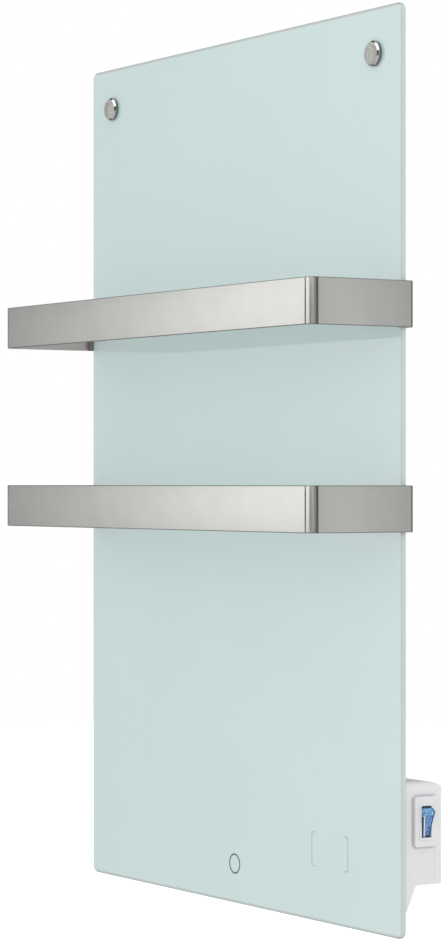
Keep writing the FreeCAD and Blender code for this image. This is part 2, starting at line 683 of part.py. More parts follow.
def straight_lead(x, z_low, z_high):
    """Lead that runs straight down behind the glass."""
    return rod(Vector(x, depth(LEAD_DEPTH), z_low), Vector(x, depth(LEAD_DEPTH), z_high), LEAD_DIAMETER / 2)


def earth_lead():
    """Lead from the terminal block to the earth tag."""
    return straight_lead(EARTH_X, BLOCK_HIGH, EARTH_STUD_Z - EARTH_STUD_DIAMETER - CRIMP_HEIGHT)


def switch_tab_end(side):
    """Inner end of the upper (+1) or lower (-1) switch tab, where a lead meets it."""
    return Vector(SWITCH_BACK_X - BLADE_LENGTH, SWITCH_Y, SWITCH_Z + side * TAB_SPREAD)


def switched_lead():
    """Lead from the cut-out down into the box and across to the upper switch tab."""
    top = Vector(SWITCHED_X, depth(LEAD_DEPTH), BLADE_LOW)
    end = switch_tab_end(1)
    turn = Vector(top.x, top.y, end.z + LEAD_RUN)
    return lead([top, turn, end - ALONG_X * LEAD_RUN, end])


def live_lead():
    """Lead from the terminal block to the lower switch tab."""
    start = Vector(LIVE_POLE_X, depth(LEAD_DEPTH), BLOCK_HIGH)
    end = switch_tab_end(-1)
    return lead([start, start + ALONG_Z * LEAD_RISE, end - ALONG_X * LEAD_RUN, end])


def chin_depth(z, inset):
    """Depth of the sloping chin's face at a height, drawn in by an inset measured square to it."""
    return COVER_GAP + (z - CHIN_TIP) * CHIN_SLOPE - inset * math.hypot(1, CHIN_SLOPE)


def hood(inset, front):
    """Solid inside the box's rounded outline: its side, plan and front outlines crossed with one another."""
    y_front = depth(front)
    y_back = depth(BOX_DEPTH) - inset
    top = BOX_TOP - inset
    bottom = BOX_BOTTOM + inset
    left = BOX_LEFT + inset
    right = BOX_RIGHT - inset
    radius = BOX_EDGE_RADIUS - inset
    tip = CHIN_TIP + (front - COVER_GAP + inset * math.hypot(1, CHIN_SLOPE)) / CHIN_SLOPE
    side = [(y_front, top, 0), (y_back, top, BOX_TOP_RADIUS - inset),
            (y_back, bottom, BOX_BOTTOM_RADIUS - inset),
            (depth(chin_depth(bottom, inset)), bottom, CHIN_FILLET + inset), (y_front, tip, 0)]
    plan = [(left, y_front, 0), (left, y_back, radius), (right, y_back, radius), (right, y_front, 0)]
    face = [(left, tip, 0), (left, top, radius), (right, top, radius), (right, tip, 0)]
    solid = prism(side, "X", left, right)
    solid = solid.common(prism(plan, "Z", tip, top))
    return solid.common(prism(face, "Y", y_front, y_back))


def cover_screw_places():
    """Middle of each cover screw on the outside of the cover's back."""
    heights = (BOX_BOTTOM + BOSS_INSET, BOX_TOP - BOSS_INSET)
    return [Vector(x, depth(BOX_DEPTH), z) for x in (BOX_LEFT + BOSS_INSET, RIGHT_BOSS_X) for z in heights]


def cover_screw(place, clearance):
    """Countersunk screw, or the hole for it where a clearance is given."""
    head = COVER_SCREW_HEAD / 2 + clearance
    shank = COVER_SCREW_DIAMETER / 2 + clearance
    sink = head - shank
    end = COVER_SCREW_LENGTH + clearance
    return turned([(0, 0), (head, 0), (shank, sink), (shank, end), (0, end)], place, -ALONG_Y)


def slotted_cover_screw(place):
    """Countersunk screw with a driver slot."""
    half_head = COVER_SCREW_HEAD / 2
    slot = block((place.x - half_head, place.x + half_head), (place.y - SCREW_SLOT_DEPTH, place.y),
                 (place.z - SCREW_SLOT_WIDTH / 2, place.z + SCREW_SLOT_WIDTH / 2))
    return cover_screw(place, 0).cut(slot)


def gland_middle():
    """Middle of the gland on the underside of the box."""
    return Vector(EARTH_X, depth((CHIN_DEPTH + BOX_DEPTH) / 2), BOX_BOTTOM)


def box_cover():
    """Moulded hood with a sloping chin, a raised switch frame, vents, and holes for what passes through."""
    shell = hood(0, COVER_GAP).cut(hood(BOX_WALL, COVER_GAP - OVERCUT))
    frame = prism(centred(FRAME_Y, SWITCH_Z, FRAME_WIDTH, FRAME_HEIGHT, FRAME_CORNER_RADIUS), "X",
                  BOX_RIGHT - BOX_WALL / 2, FRAME_FACE_X)
    frame = frame.makeFillet(FRAME_SOFT_EDGE, facing_edges(frame, ALONG_X))
    shell = shell.fuse(frame).removeSplitter()
    cuts = [switch_shank(LOOSE_FIT, BOX_RIGHT - BOX_WALL - OVERCUT, FRAME_FACE_X + OVERCUT)]
    cuts.append(grommet_waist(BOX_TOP - BOX_WALL - OVERCUT, BOX_TOP + OVERCUT, 0))
    cuts.append(rod(gland_middle() - ALONG_Z * OVERCUT, gland_middle() + ALONG_Z * (BOX_WALL + OVERCUT),
                    GLAND_THREAD_DIAMETER / 2 + LOOSE_FIT))
    cuts.extend(cover_screw(place, LOOSE_FIT) for place in cover_screw_places())
    cuts.extend(vent_slots())
    return shell.cut(cuts)


def vent_slots():
    """Row of slots through the top of the box, behind the lead grommet."""
    room = BOX_WIDTH - 2 * VENT_MARGIN
    count = int(room / VENT_PITCH) + 1
    first = (BOX_LEFT + BOX_RIGHT - (count - 1) * VENT_PITCH) / 2
    start = LEAD_DEPTH + GROMMET_HALF_DEPTH + GROMMET_LIP + BOX_WALL
    middle = depth(start + VENT_LENGTH / 2)
    places = [first + i * VENT_PITCH for i in range(count)]
    outlines = [centred(x, middle, VENT_WIDTH, VENT_LENGTH, VENT_WIDTH / 2) for x in places]
    return [prism(outline, "Z", BOX_TOP - BOX_WALL - OVERCUT, BOX_TOP + OVERCUT) for outline in outlines]


def base_outline(margin):
    """Outline of the base plate inside the cover and below the grommet's lip, drawn in by a margin."""
    gap = BOX_WALL + BASE_CLEARANCE + margin
    slant = BOX_WALL * math.hypot(1, CHIN_SLOPE)
    low = CHIN_TIP + (BASE_BACK + BASE_CLEARANCE - COVER_GAP + slant) / CHIN_SLOPE
    radius = BOX_EDGE_RADIUS - BOX_WALL - BASE_CLEARANCE
    return rectangle(BOX_LEFT + gap, BOX_RIGHT - gap, low + margin, BOX_TOP - GROMMET_LIP - gap, radius)


def box_base():
    """Moulded base plate with four screw bosses that carry the cover."""
    plate = prism(base_outline(0), "Y", depth(TAPE_THICKNESS), depth(BASE_BACK))
    boss_end = depth(BOX_DEPTH - BOX_WALL)
    bosses = []
    for place in cover_screw_places():
        foot = Vector(place.x, depth(BASE_BACK), place.z)
        bosses.append(rod(foot, Vector(place.x, boss_end, place.z), BOSS_DIAMETER / 2))
    plate = plate.fuse(bosses).removeSplitter()
    return plate.cut([cover_screw(place, CLOSE_FIT) for place in cover_screw_places()])


def box_tape():
    """Bonding tape between the base plate and the glass."""
    return prism(base_outline(TAPE_MARGIN), "Y", depth(0), depth(TAPE_THICKNESS))


def switch_shank(clearance, x_low, x_high):
    """Rectangular shank of the switch, or its opening where a clearance is given."""
    width = 2 * (WELL_HALF_WIDTH + SWITCH_WALL + clearance)
    height = 2 * (WELL_HALF_LENGTH + SWITCH_WALL + clearance)
    return prism(centred(SWITCH_Y, SWITCH_Z, width, height, SWITCH_CORNER_RADIUS), "X", x_low, x_high)


def lamp(clearance):
    """Small round lamp under the rocker, or its seat where a clearance is given."""
    start = Vector(WELL_FLOOR_X - LAMP_SEAT, SWITCH_Y, SWITCH_Z)
    return rod(start, start + ALONG_X * LAMP_LENGTH, LAMP_DIAMETER / 2 + clearance)


def pivot_pin(clearance, half_length):
    """Pin that the rocker tilts on, or its hole where a clearance is given."""
    return rod(PIVOT - ALONG_Y * half_length, PIVOT + ALONG_Y * half_length, PIN_DIAMETER / 2 + clearance)


def switch_body():
    """Switch housing with a bezel on the raised frame and a well for the rocker."""
    width = 2 * (WELL_HALF_WIDTH + BEZEL_LIP)
    height = 2 * (WELL_HALF_LENGTH + BEZEL_LIP)
    outline = centred(SWITCH_Y, SWITCH_Z, width, height, BEZEL_CORNER_RADIUS)
    bezel = prism(outline, "X", FRAME_FACE_X, BEZEL_FACE_X)
    bezel = bezel.makeFillet(BEZEL_SOFT_EDGE, facing_edges(bezel, ALONG_X))
    housing = bezel.fuse(switch_shank(0, SWITCH_BACK_X, FRAME_FACE_X)).removeSplitter()
    well = prism(centred(SWITCH_Y, SWITCH_Z, 2 * WELL_HALF_WIDTH, 2 * WELL_HALF_LENGTH), "X",
                 WELL_FLOOR_X, BEZEL_FACE_X + OVERCUT)
    pin_hole = pivot_pin(CLOSE_FIT, WELL_HALF_WIDTH + SWITCH_WALL)
    return housing.cut([well, pin_hole, lamp(CLOSE_FIT)])


def switch_tab(side):
    """Push-on blade at the back of the switch."""
    end = switch_tab_end(side)
    return block((end.x, SWITCH_BACK_X), (SWITCH_Y - BLADE_WIDTH / 2, SWITCH_Y + BLADE_WIDTH / 2),
                 (end.z - BLADE_THICKNESS / 2, end.z + BLADE_THICKNESS / 2))


def rocker():
    """Dished rocker whose ends run on a circle round the pin, shown with its lower end pressed in."""
    tip = Vector(ROCKER_TIP_RISE, 0, math.sqrt(ROCKER_RADIUS ** 2 - ROCKER_TIP_RISE ** 2))
    skirt = Vector(-ROCKER_SKIRT, 0, math.sqrt(ROCKER_RADIUS ** 2 - ROCKER_SKIRT ** 2))
    dish = Vector(ROCKER_TIP_RISE - ROCKER_DISH, 0, 0)
    end = ALONG_Z * ROCKER_RADIUS

    def below(point):
        return Vector(point.x, point.y, -point.z)

    edges = [Part.Arc(below(tip), dish, tip).toShape(), Part.Arc(tip, end, skirt).toShape(),
             Part.LineSegment(skirt, below(skirt)).toShape(),
             Part.Arc(below(skirt), below(end), below(tip)).toShape()]
    solid = Part.Face(Part.Wire(edges)).extrude(ALONG_Y * ROCKER_WIDTH)
    solid.translate(PIVOT - ALONG_Y * (ROCKER_WIDTH / 2))
    dished = max(solid.Faces, key=lambda face: face.CenterOfMass.x)
    solid = solid.makeFillet(ROCKER_SOFT_EDGE, dished.Edges)
    solid = solid.cut(pivot_pin(CLOSE_FIT, ROCKER_WIDTH))
    solid.rotate(PIVOT, ALONG_Y, ROCKER_TILT)
    return solid


def pole_places():
    """X of each pole of the terminal block."""
    return [NEUTRAL_X + i * POLE_PITCH for i in range(POLE_COUNT)]


def clamp_screw_places():
    """Middle of each clamping screw on the terminal block's back."""
    back = depth(BASE_BACK + BLOCK_THICKNESS)
    middle = (BLOCK_LOW + BLOCK_HIGH) / 2
    heights = (middle - CLAMP_SCREW_SPREAD / 2, middle + CLAMP_SCREW_SPREAD / 2)
    return [Vector(x, back, z) for x in pole_places() for z in heights]


def clamp_screw(place, clearance):
    """Clamping screw sunk in the terminal block, or its pit where a clearance is given."""
    return rod(place, place - ALONG_Y * CLAMP_SCREW_LENGTH, CLAMP_SCREW_DIAMETER / 2 + clearance)


def slotted_clamp_screw(place):
    """Clamping screw with a driver slot."""
    half = CLAMP_SCREW_DIAMETER / 2
    slot = block((place.x - half, place.x + half), (place.y - SCREW_SLOT_DEPTH, place.y),
                 (place.z - SCREW_SLOT_WIDTH / 2, place.z + SCREW_SLOT_WIDTH / 2))
    return clamp_screw(place, 0).cut(slot)


def terminal_block():
    """Moulded block with a pit for each mains conductor and for each clamping screw."""
    poles = pole_places()
    end = POLE_PITCH / 2 + BLOCK_END
    body = block((poles[0] - end, poles[-1] + end), (depth(BASE_BACK), depth(BASE_BACK + BLOCK_THICKNESS)),
                 (BLOCK_LOW, BLOCK_HIGH))
    starts = [Vector(x, depth(BASE_BACK + BLOCK_THICKNESS / 2), BLOCK_LOW) for x in poles]
    pits = [rod(start, start + ALONG_Z * WIRE_PIT_DEPTH, WIRE_PIT_DIAMETER / 2) for start in starts]
    pits.extend(clamp_screw(place, CLOSE_FIT) for place in clamp_screw_places())
    return body.cut(pits)


def cable_gland():
    """Gland body through the underside of the box, with a cup for the seal."""
    seat = gland_middle()
    seal_radius = CABLE_DIAMETER / 2 + SEAL_WALL
    thread_top = BOX_WALL + GLAND_LOCKNUT
    body = rod(seat, seat + ALONG_Z * thread_top, GLAND_THREAD_DIAMETER / 2)
    collar = hexagon(seat, -ALONG_Z, GLAND_FLATS, GLAND_COLLAR)
    neck_end = seat - ALONG_Z * (GLAND_COLLAR + GLAND_STEM)
    neck = rod(seat, neck_end, GLAND_NECK_DIAMETER / 2)
    body = body.fuse([collar, neck]).removeSplitter()
    bore = rod(neck_end, seat + ALONG_Z * thread_top, CABLE_DIAMETER / 2)
    cup = rod(neck_end, neck_end + ALONG_Z * SEAL_LENGTH, seal_radius + CLOSE_FIT)
    return body.cut([bore, cup])


def gland_seal():
    """Rubber seal in the gland's cup."""
    low = gland_middle() - ALONG_Z * (GLAND_COLLAR + GLAND_STEM)
    return ring(low, ALONG_Z, CABLE_DIAMETER / 2, CABLE_DIAMETER / 2 + SEAL_WALL, SEAL_LENGTH)


def gland_nut():
    """Domed nut that squeezes the seal."""
    neck = GLAND_NECK_DIAMETER / 2 + CLOSE_FIT
    outer = neck + GLAND_NUT_WALL
    mouth = CABLE_DIAMETER / 2
    end = GLAND_STEM + GLAND_NUT_END
    profile = [(neck, 0), (outer, 0), (outer, GLAND_STEM), (neck, end), (mouth, end),
               (mouth, GLAND_STEM), (neck, GLAND_STEM)]
    return turned(profile, gland_middle() - ALONG_Z * GLAND_COLLAR, -ALONG_Z)


def gland_locknut():
    """Locknut on the gland's thread, inside the box."""
    start = gland_middle() + ALONG_Z * BOX_WALL
    return nut(start, ALONG_Z, GLAND_FLATS, GLAND_LOCKNUT, GLAND_THREAD_DIAMETER / 2 + CLOSE_FIT)


def towel_bar(height):
    """Flat strip bent round the panel: a front run, two legs past the glass and a lip behind each edge."""
    middle = GLASS_BOTTOM + height
    lip_back = LIP_FRONT_Y + BAR_STOCK
    lip_end = BAR_INNER_X - LIP_LENGTH
    inner_front = BAR_FRONT_Y + BAR_STOCK
    bend = BAR_BEND_RADIUS
    inner_bend = bend - BAR_STOCK
    lip_bend = LIP_BEND_RADIUS
    inner_lip_bend = lip_bend - BAR_STOCK
    right = [(lip_end, lip_back, 0), (BAR_OUTER_X, lip_back, lip_bend), (BAR_OUTER_X, BAR_FRONT_Y, bend)]
    inner_right = [(BAR_INNER_X, inner_front, inner_bend), (BAR_INNER_X, LIP_FRONT_Y, inner_lip_bend),
                   (lip_end, LIP_FRONT_Y, 0)]
    left = [(-x, y, radius) for x, y, radius in reversed(right)]
    inner_left = [(-x, y, radius) for x, y, radius in reversed(inner_right)]
    outline = right + left + inner_left + inner_right
    strip = prism(outline, "Z", middle - BAR_HEIGHT / 2, middle + BAR_HEIGHT / 2)
    return strip.cut([set_screw(place, CLOSE_FIT) for place in set_screw_places(height)])


def set_screw_places(height):
    """Where each set screw meets the back of a grip, on both lips of a bar."""
    middle = GLASS_BOTTOM + height
    x = BAR_INNER_X - SET_SCREW_INSET
    half = SET_SCREW_SPREAD / 2
    return [Vector(side * x, LIP_FRONT_Y, middle + offset) for side in (-1, 1) for offset in (-half, half)]


def set_screw(place, clearance):
    """Headless screw through a lip, or its hole where a clearance is given."""
    return rod(place, place + ALONG_Y * SET_SCREW_LENGTH, SET_SCREW_DIAMETER / 2 + clearance)


def socket_set_screw(place):
    """Headless screw with a hexagon socket in its outer end."""
    end = place + ALONG_Y * SET_SCREW_LENGTH
    return set_screw(place, 0).cut(hexagon(end, -ALONG_Y, SOCKET_FLATS, SOCKET_DEPTH))


def bar_grip(height):
    """Rubber channel on the right-hand glass edge, with a short front cheek that lies on the leg."""
    middle = GLASS_BOTTOM + height
    edge = GLASS_WIDTH / 2 + GRIP_CLEARANCE
    front = GLASS_FRONT - GRIP_CLEARANCE
    back = GLASS_BACK + GRIP_CLEARANCE
    back_end = BAR_INNER_X - GRIP_BACK_REACH
    front_end = BAR_INNER_X - GRIP_FRONT_REACH
    section = [(back_end, LIP_FRONT_Y, 0), (BAR_INNER_X, LIP_FRONT_Y, GRIP_CORNER),
               (BAR_INNER_X, front - GRIP_FRONT, 0), (front_end, front - GRIP_FRONT, GRIP_CORNER),
               (front_end, front, 0), (edge, front, 0), (edge, back, 0), (back_end, back, 0)]
    return prism(section, "Z", middle - BAR_HEIGHT / 2, middle + BAR_HEIGHT / 2)


def wall_fixings():
    """Nodes that hang the panel: caps, bushes, washers, nuts, both rails and the lower spacers."""
    front = GLASS_FRONT - FRONT_WASHER_THICKNESS
    return {
        "cap_left": [cap_bolt(-CAP_X)],
        "cap_right": [cap_bolt(CAP_X)],
        "cap_front_washers": left_and_right(cap_washer(front, FRONT_WASHER_THICKNESS)),
        "cap_bushes": left_and_right(cap_bush()),
        "cap_rear_washers": left_and_right(cap_washer(GLASS_BACK, REAR_WASHER_THICKNESS)),
        "cap_nuts": left_and_right(cap_nut()),
        "hanger_rail": [hanger_rail()],
        "wall_rail": [wall_rail()],
        "spacer_left": [wall_spacer(-SPACER_X)],
        "spacer_right": [wall_spacer(SPACER_X)],
        "spacer_tips": left_and_right(spacer_tip()),
    }


def heater_nodes():
    """Nodes of the heating pack behind the glass."""
    crimp_end = LEAD_DEPTH + CRIMP_COVER
    wall_low = TRAY_LOW + TRAY_FLANGE
    return {
        "heater_foil": [heater_foil()],
        "heater_backing": [heater_backing()],
        "insulation_board": [insulation_board()],
        "rear_tray": [rear_tray()],
        "tray_seal": [tray_seal()],
        "foil_crimps": [foil_crimp(x, 0, crimp_end) for x in (NEUTRAL_X, HEATER_LIVE_X)],
        "thermal_cutout": [thermal_cutout()],
        "cutout_jumper": [straight_lead(HEATER_LIVE_X, CRIMP_HIGH, BLADE_LOW)],
        "earth_stud": [earth_stud()],
        "earth_tag": [earth_tag()],
        "earth_nut": [earth_nut()],
        "tray_grommet": [lead_grommet(wall_low, wall_low + TRAY_STOCK)],
    }


def box_nodes():
    """Nodes of the control box, its leads and its switch."""
    pin_half_length = WELL_HALF_WIDTH + SWITCH_WALL - PIN_INSET
    return {
        "box_tape": [box_tape()],
        "box_base": [box_base()],
        "box_cover": [box_cover()],
        "cover_screws": [slotted_cover_screw(place) for place in cover_screw_places()],
        "box_grommet": [lead_grommet(BOX_TOP - BOX_WALL, BOX_TOP)],
        "neutral_lead": [straight_lead(NEUTRAL_X, BLOCK_HIGH, CRIMP_LOW)],
        "earth_lead": [earth_lead()],
        "switched_lead": [switched_lead()],
        "live_lead": [live_lead()],
        "terminal_block": [terminal_block()],
        "terminal_screws": [slotted_clamp_screw(place) for place in clamp_screw_places()],
        "switch_body": [switch_body()],
        "switch_tabs": [switch_tab(1), switch_tab(-1)],
        "switch_lamp": [lamp(0)],
        "rocker_pin": [pivot_pin(0, pin_half_length)],
        "rocker": [rocker()],
        "cable_gland": [cable_gland()],
        "gland_seal": [gland_seal()],
        "gland_nut": [gland_nut()],
        "gland_locknut": [gland_locknut()],
    }


def bar_nodes(name, height):
    """Nodes of one towel bar."""
    return {
        name + "_towel_bar": [towel_bar(height)],
        name + "_bar_grips": left_and_right(bar_grip(height)),
        name + "_bar_set_screws": [socket_set_screw(place) for place in set_screw_places(height)],
    }


def main():
    nodes = {"glass_panel": [glass_panel()]}
    nodes.update(wall_fixings())
    nodes.update(heater_nodes())
    nodes.update(box_nodes())
    nodes.update(bar_nodes("upper", UPPER_BAR_HEIGHT))
    nodes.update(bar_nodes("lower", LOWER_BAR_HEIGHT))
    os.makedirs("parts", exist_ok=True)
    for name, solids in nodes.items():
        shape = solids[0] if len(solids) == 1 else Part.makeCompound(solids)
        sound = all(solid.isValid() and solid.Volume > 0 for solid in solids)
        state = "sound" if sound else "NOT SOUND"
        print(name, len(shape.Solids), "solids", round(shape.Volume, 1), "mm3", state)
        shape.exportStep("parts/" + name + ".step")


main()
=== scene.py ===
import math

import bpy
import numpy as np
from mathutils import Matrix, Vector


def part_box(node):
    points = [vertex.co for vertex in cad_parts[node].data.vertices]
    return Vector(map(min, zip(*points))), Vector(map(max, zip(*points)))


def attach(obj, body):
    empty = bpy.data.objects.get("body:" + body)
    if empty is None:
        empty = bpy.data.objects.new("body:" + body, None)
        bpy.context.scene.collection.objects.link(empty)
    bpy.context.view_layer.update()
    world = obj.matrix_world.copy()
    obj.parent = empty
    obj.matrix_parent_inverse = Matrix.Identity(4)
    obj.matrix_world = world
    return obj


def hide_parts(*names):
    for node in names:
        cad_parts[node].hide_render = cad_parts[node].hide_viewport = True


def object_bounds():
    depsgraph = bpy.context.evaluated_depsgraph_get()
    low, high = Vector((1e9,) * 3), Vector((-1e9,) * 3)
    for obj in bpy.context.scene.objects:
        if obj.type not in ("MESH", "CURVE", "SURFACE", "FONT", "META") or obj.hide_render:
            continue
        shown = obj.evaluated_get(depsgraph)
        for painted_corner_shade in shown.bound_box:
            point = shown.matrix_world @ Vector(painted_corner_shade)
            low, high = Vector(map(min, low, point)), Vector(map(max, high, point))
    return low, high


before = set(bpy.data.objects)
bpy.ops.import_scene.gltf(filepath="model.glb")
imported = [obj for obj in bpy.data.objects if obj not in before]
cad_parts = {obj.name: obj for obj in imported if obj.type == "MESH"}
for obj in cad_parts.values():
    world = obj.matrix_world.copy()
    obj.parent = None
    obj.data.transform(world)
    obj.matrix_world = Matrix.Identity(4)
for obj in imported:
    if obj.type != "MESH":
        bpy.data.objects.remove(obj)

# Box of the solids
CAD_LOW, CAD_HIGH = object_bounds()

MM = 0.001
X_AXIS = np.array([1.0, 0.0, 0.0])
Y_AXIS = np.array([0.0, 1.0, 0.0])
Z_AXIS = np.array([0.0, 0.0, 1.0])

# Steps of a full turn, of a bend in a strip and of a softened edge
TURN_STEPS = 144
BEND_STEPS = 16
EDGE_STEPS = 5
TURN = np.linspace(0, 2 * np.pi, TURN_STEPS, endpoint=False)

# Angle from which the edge between two faces stays sharp
SHARP_EDGE = math.radians(40)

# Glass panel, read from the frame, the line that its ground edge and painted shade show along its ends
# and sides, and the depth of the enamel on its back
GLASS_LOW, GLASS_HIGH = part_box("glass_panel")
GLASS_MIDDLE = (GLASS_LOW + GLASS_HIGH) / 2
GLASS_HALF = (GLASS_HIGH - GLASS_LOW) / 2
END_LINE_WIDTH = 2.8 * MM
SIDE_LINE_WIDTH = 2.0 * MM
EDGE_LINE_BLUR = 0.5 * MM
BACK_SKIN = 0.3 * MM

# Towel bars: one strip of steel, bent in plan, and the height of the painted shade along its edges
BAR_STOCK = 2.5 * MM
BAR_BEND_RADIUS = 10.0 * MM
BAR_LIP_BEND_RADIUS = 3.5 * MM
BAR_LIP_LENGTH = 18.5 * MM
BAR_EDGE_RADIUS = 0.9 * MM
BAR_EDGE_SHADE = 0.8 * MM

# Caps: turned heads with a chamfer and a stud, the depth to which the face is rubbed, and the small flat at
# the middle of a turned surface
CAP_CHAMFER = 1.8 * MM
CAP_SOFT_EDGE = 0.35 * MM
CAP_HEAD = 4.5 * MM
CAP_STUD_RADIUS = 3.0 * MM
CAP_FACE_DEPTH = 0.15 * MM
TURNING_POLE = 0.02 * MM

# Ribbed nut of the cable gland
NUT_WALL = 2.5 * MM
NUT_END = 3.5 * MM
NUT_MOUTH = 4.0 * MM
NUT_SOFT_EDGE = 0.5 * MM
NUT_GROOVE = 0.7 * MM
NUT_RIBS = 18

# Rocker: its rim painted dark as shade, the painted highlight line beside it, the slant at which both are
# painted, and the distance from its top to where its upper slope is all painted pale as light and to where
# the slope ends
ROCKER_SHADED_RIM = 1.7 * MM
ROCKER_HIGHLIGHT_LINE = 1.2 * MM
ROCKER_BLUR = 0.4 * MM
ROCKER_SLANT = math.radians(32)
ROCKER_SLOPE = 7.0 * MM
ROCKER_SLOPE_FOOT = 9.8 * MM

# Control box: reach of the painted shade in its corners, and the seam of its mould
CORNER_SHADE = 4.0 * MM
SEAM_FROM_WALL = 13.0 * MM
SEAM_WIDTH = 0.7 * MM
SEAM_BELOW_SWITCH = 8.0 * MM

# Printed marks on the glass, measured from the bottom middle of its front
MARK_THICKNESS = 0.12 * MM
MARK_EDGE_RADIUS = 0.03 * MM
BRACKET_SPAN = (145.0 * MM, 208.5 * MM)
BRACKET_RISE = (55.0 * MM, 89.0 * MM)
BRACKET_TICK = 7.0 * MM
BRACKET_LINE = 1.0 * MM
BRACKET_CORNER = 0.8 * MM
RING_RISE = 41.0 * MM
RING_RADIUS = 9.8 * MM
RING_LINE = 1.6 * MM

# Camera: place and direction fitted to the photograph's perspective of the panel
FRAME_HEIGHT_PX = 940.0
FOCAL_LENGTH_PX = 2987.6
SENSOR_LONG_SIDE_MM = 36.0
CAMERA_PLACE = Vector((2.63698, -1.71902, -0.44560))
CAMERA_YAW = math.radians(-58.006)
CAMERA_PITCH = math.radians(0.258)

# Finishes: how much polish varies over plastic and over metal, and how strongly a mould's grain shows
PLASTIC_POLISH_SPREAD = 0.06
METAL_POLISH_SPREAD = 0.08
GRAIN_STRENGTH = 0.5

# Studio, with its places and sizes in metres: a floor below the heater, a plain light from all round and two
# softboxes
FLOOR_DROP = 0.45
FLOOR_RADIUS = 8.0
FLOOR_GLOW = 0.6
AMBIENT = 0.84
SOFTBOX_PLACE = Vector((-2.55, -2.55, -0.1))
SOFTBOX_SIZE = (1.9, 2.4)
SOFTBOX_RADIANCE = 1.2
RIGHT_LAMP_PLACE = Vector((2.9, -0.6, 0.1))
RIGHT_LAMP_SIZE = (1.6, 2.0)
RIGHT_LAMP_RADIANCE = 1.2

# White and black cards round the heater, which metal and glass mirror: the degrees at which each stands,
# counted from the heater's left through its front, and its brightness
CARD_PEAK = 2.85
CARDS = ((-180, 0.36), (-172, 0.1), (-152, 0.04), (-149, 1.5), (-146, 1.25), (-142, 0.46), (-110, 0.9),
         (-60, 0.95), (-25, 0.5), (5, 0.42), (16, 0.08), (23, 0.42), (28, 0.75), (33, 1.62), (38, 2.85),
         (41, 0.25), (43, 0.06), (59, 0.06), (66, 0.55), (74, 2.4), (79, 2.4), (86, 1.1), (94, 1.1),
         (97, 2.3), (100, 2.1), (104, 0.45), (115, 0.45), (117, 0.06), (127, 0.06), (129, 0.6), (163, 0.48),
         (180, 0.36))

# Ceiling and floor that they mirror in front, and dark flags high and low at the left: the brightness of
# each, and how far up, down, left or forward a direction points where each begins and where it is full
CEILING_BRIGHTNESS = 1.7
CEILING_RISE = (0.3, 0.44)
MIRRORED_FLOOR_BRIGHTNESS = 0.6
MIRRORED_FLOOR_FALL = (-0.08, -0.36)
FLAG_BRIGHTNESS = 0.05
FLAG_STEEPNESS = (0.55, 0.7)
FLAG_SIDE = (0.3, 0.5)
FRONT_START = (0.3, 0.45)


# Helpers for materials

def linear(code):
    """Linear colour of an sRGB hex code."""
    channels = np.array([int(code[i:i + 2], 16) for i in (1, 3, 5)]) / 255
    curved = ((channels + 0.055) / 1.055) ** 2.4
    return (*np.where(channels <= 0.04045, channels / 12.92, curved), 1.0)


def per_size(size_mm):
    """Scale of a texture whose features are about this many millimetres wide."""
    return 1 / (size_mm * MM)


def add(tree, kind, sockets=None, **settings):
    """Adds one node with its settings. A socket that is given another node's output is linked to it."""
    made = tree.nodes.new(kind)
    for name, value in settings.items():
        setattr(made, name, value)
    for name, value in (sockets or {}).items():
        if isinstance(value, bpy.types.NodeSocket):
            tree.links.new(value, made.inputs[name])
        else:
            made.inputs[name].default_value = value
    return made


def new_material(name):
    """Empty material, its node tree and the Object coordinates in it."""
    material = bpy.data.materials.new(name)
    material.use_nodes = True
    material.node_tree.nodes.clear()
    place = add(material.node_tree, "ShaderNodeTexCoord").outputs["Object"]
    return material, material.node_tree, place


def moulded(name, first, second, mottle_mm, grain_mm, roughness, grain_height_mm=0.02, ior=1.5):
    """Moulded plastic or rubber: a faint mottle in its colour and a fine mould grain on its skin."""
    # A mould's grain is about 0.1 mm wide, and is drawn several times as wide here so that it shows.
    material, tree, place = new_material(name)
    mottle = add(tree, "ShaderNodeTexNoise", {"Vector": place, "Scale": per_size(mottle_mm), "Detail": 3.0})
    grain = add(tree, "ShaderNodeTexNoise", {"Vector": place, "Scale": per_size(grain_mm), "Detail": 2.0})
    tone = add(tree, "ShaderNodeMix", {0: mottle.outputs[0], 6: linear(first), 7: linear(second)},
               data_type="RGBA")
    polish = add(tree, "ShaderNodeMapRange",
                 {"Value": grain.outputs[0], "To Min": roughness - PLASTIC_POLISH_SPREAD,
                  "To Max": roughness + PLASTIC_POLISH_SPREAD})
    relief = add(tree, "ShaderNodeBump", {"Height": grain.outputs[0], "Distance": grain_height_mm * MM,
                                          "Strength": GRAIN_STRENGTH})
    shader = add(tree, "ShaderNodeBsdfPrincipled",
                 {"Base Color": tone.outputs[2], "Roughness": polish.outputs[0], "Normal": relief.outputs[0],
                  "IOR": ior})
    add(tree, "ShaderNodeOutputMaterial", {"Surface": shader.outputs[0]})
    return material


def bare_metal(name, first, second, mottle_mm, roughness, stretch=(1.0, 1.0, 1.0)):
    """Plain metal: a mottle or a grain in its tone and polish, stretched along its working direction."""
    material, tree, place = new_material(name)
    drawn = add(tree, "ShaderNodeMapping", {"Vector": place, "Scale": stretch})
    mottle = add(tree, "ShaderNodeTexNoise",
                 {"Vector": drawn.outputs[0], "Scale": per_size(mottle_mm), "Detail": 4.0})
    tone = add(tree, "ShaderNodeMix", {0: mottle.outputs[0], 6: linear(first), 7: linear(second)},
               data_type="RGBA")
    polish = add(tree, "ShaderNodeMapRange",
                 {"Value": mottle.outputs[0], "To Min": roughness - METAL_POLISH_SPREAD,
                  "To Max": roughness + METAL_POLISH_SPREAD})
    shader = add(tree, "ShaderNodeBsdfPrincipled",
                 {"Base Color": tone.outputs[2], "Roughness": polish.outputs[0], "Metallic": 1.0})
    add(tree, "ShaderNodeOutputMaterial", {"Surface": shader.outputs[0]})
    return material


# Finishes of this heater

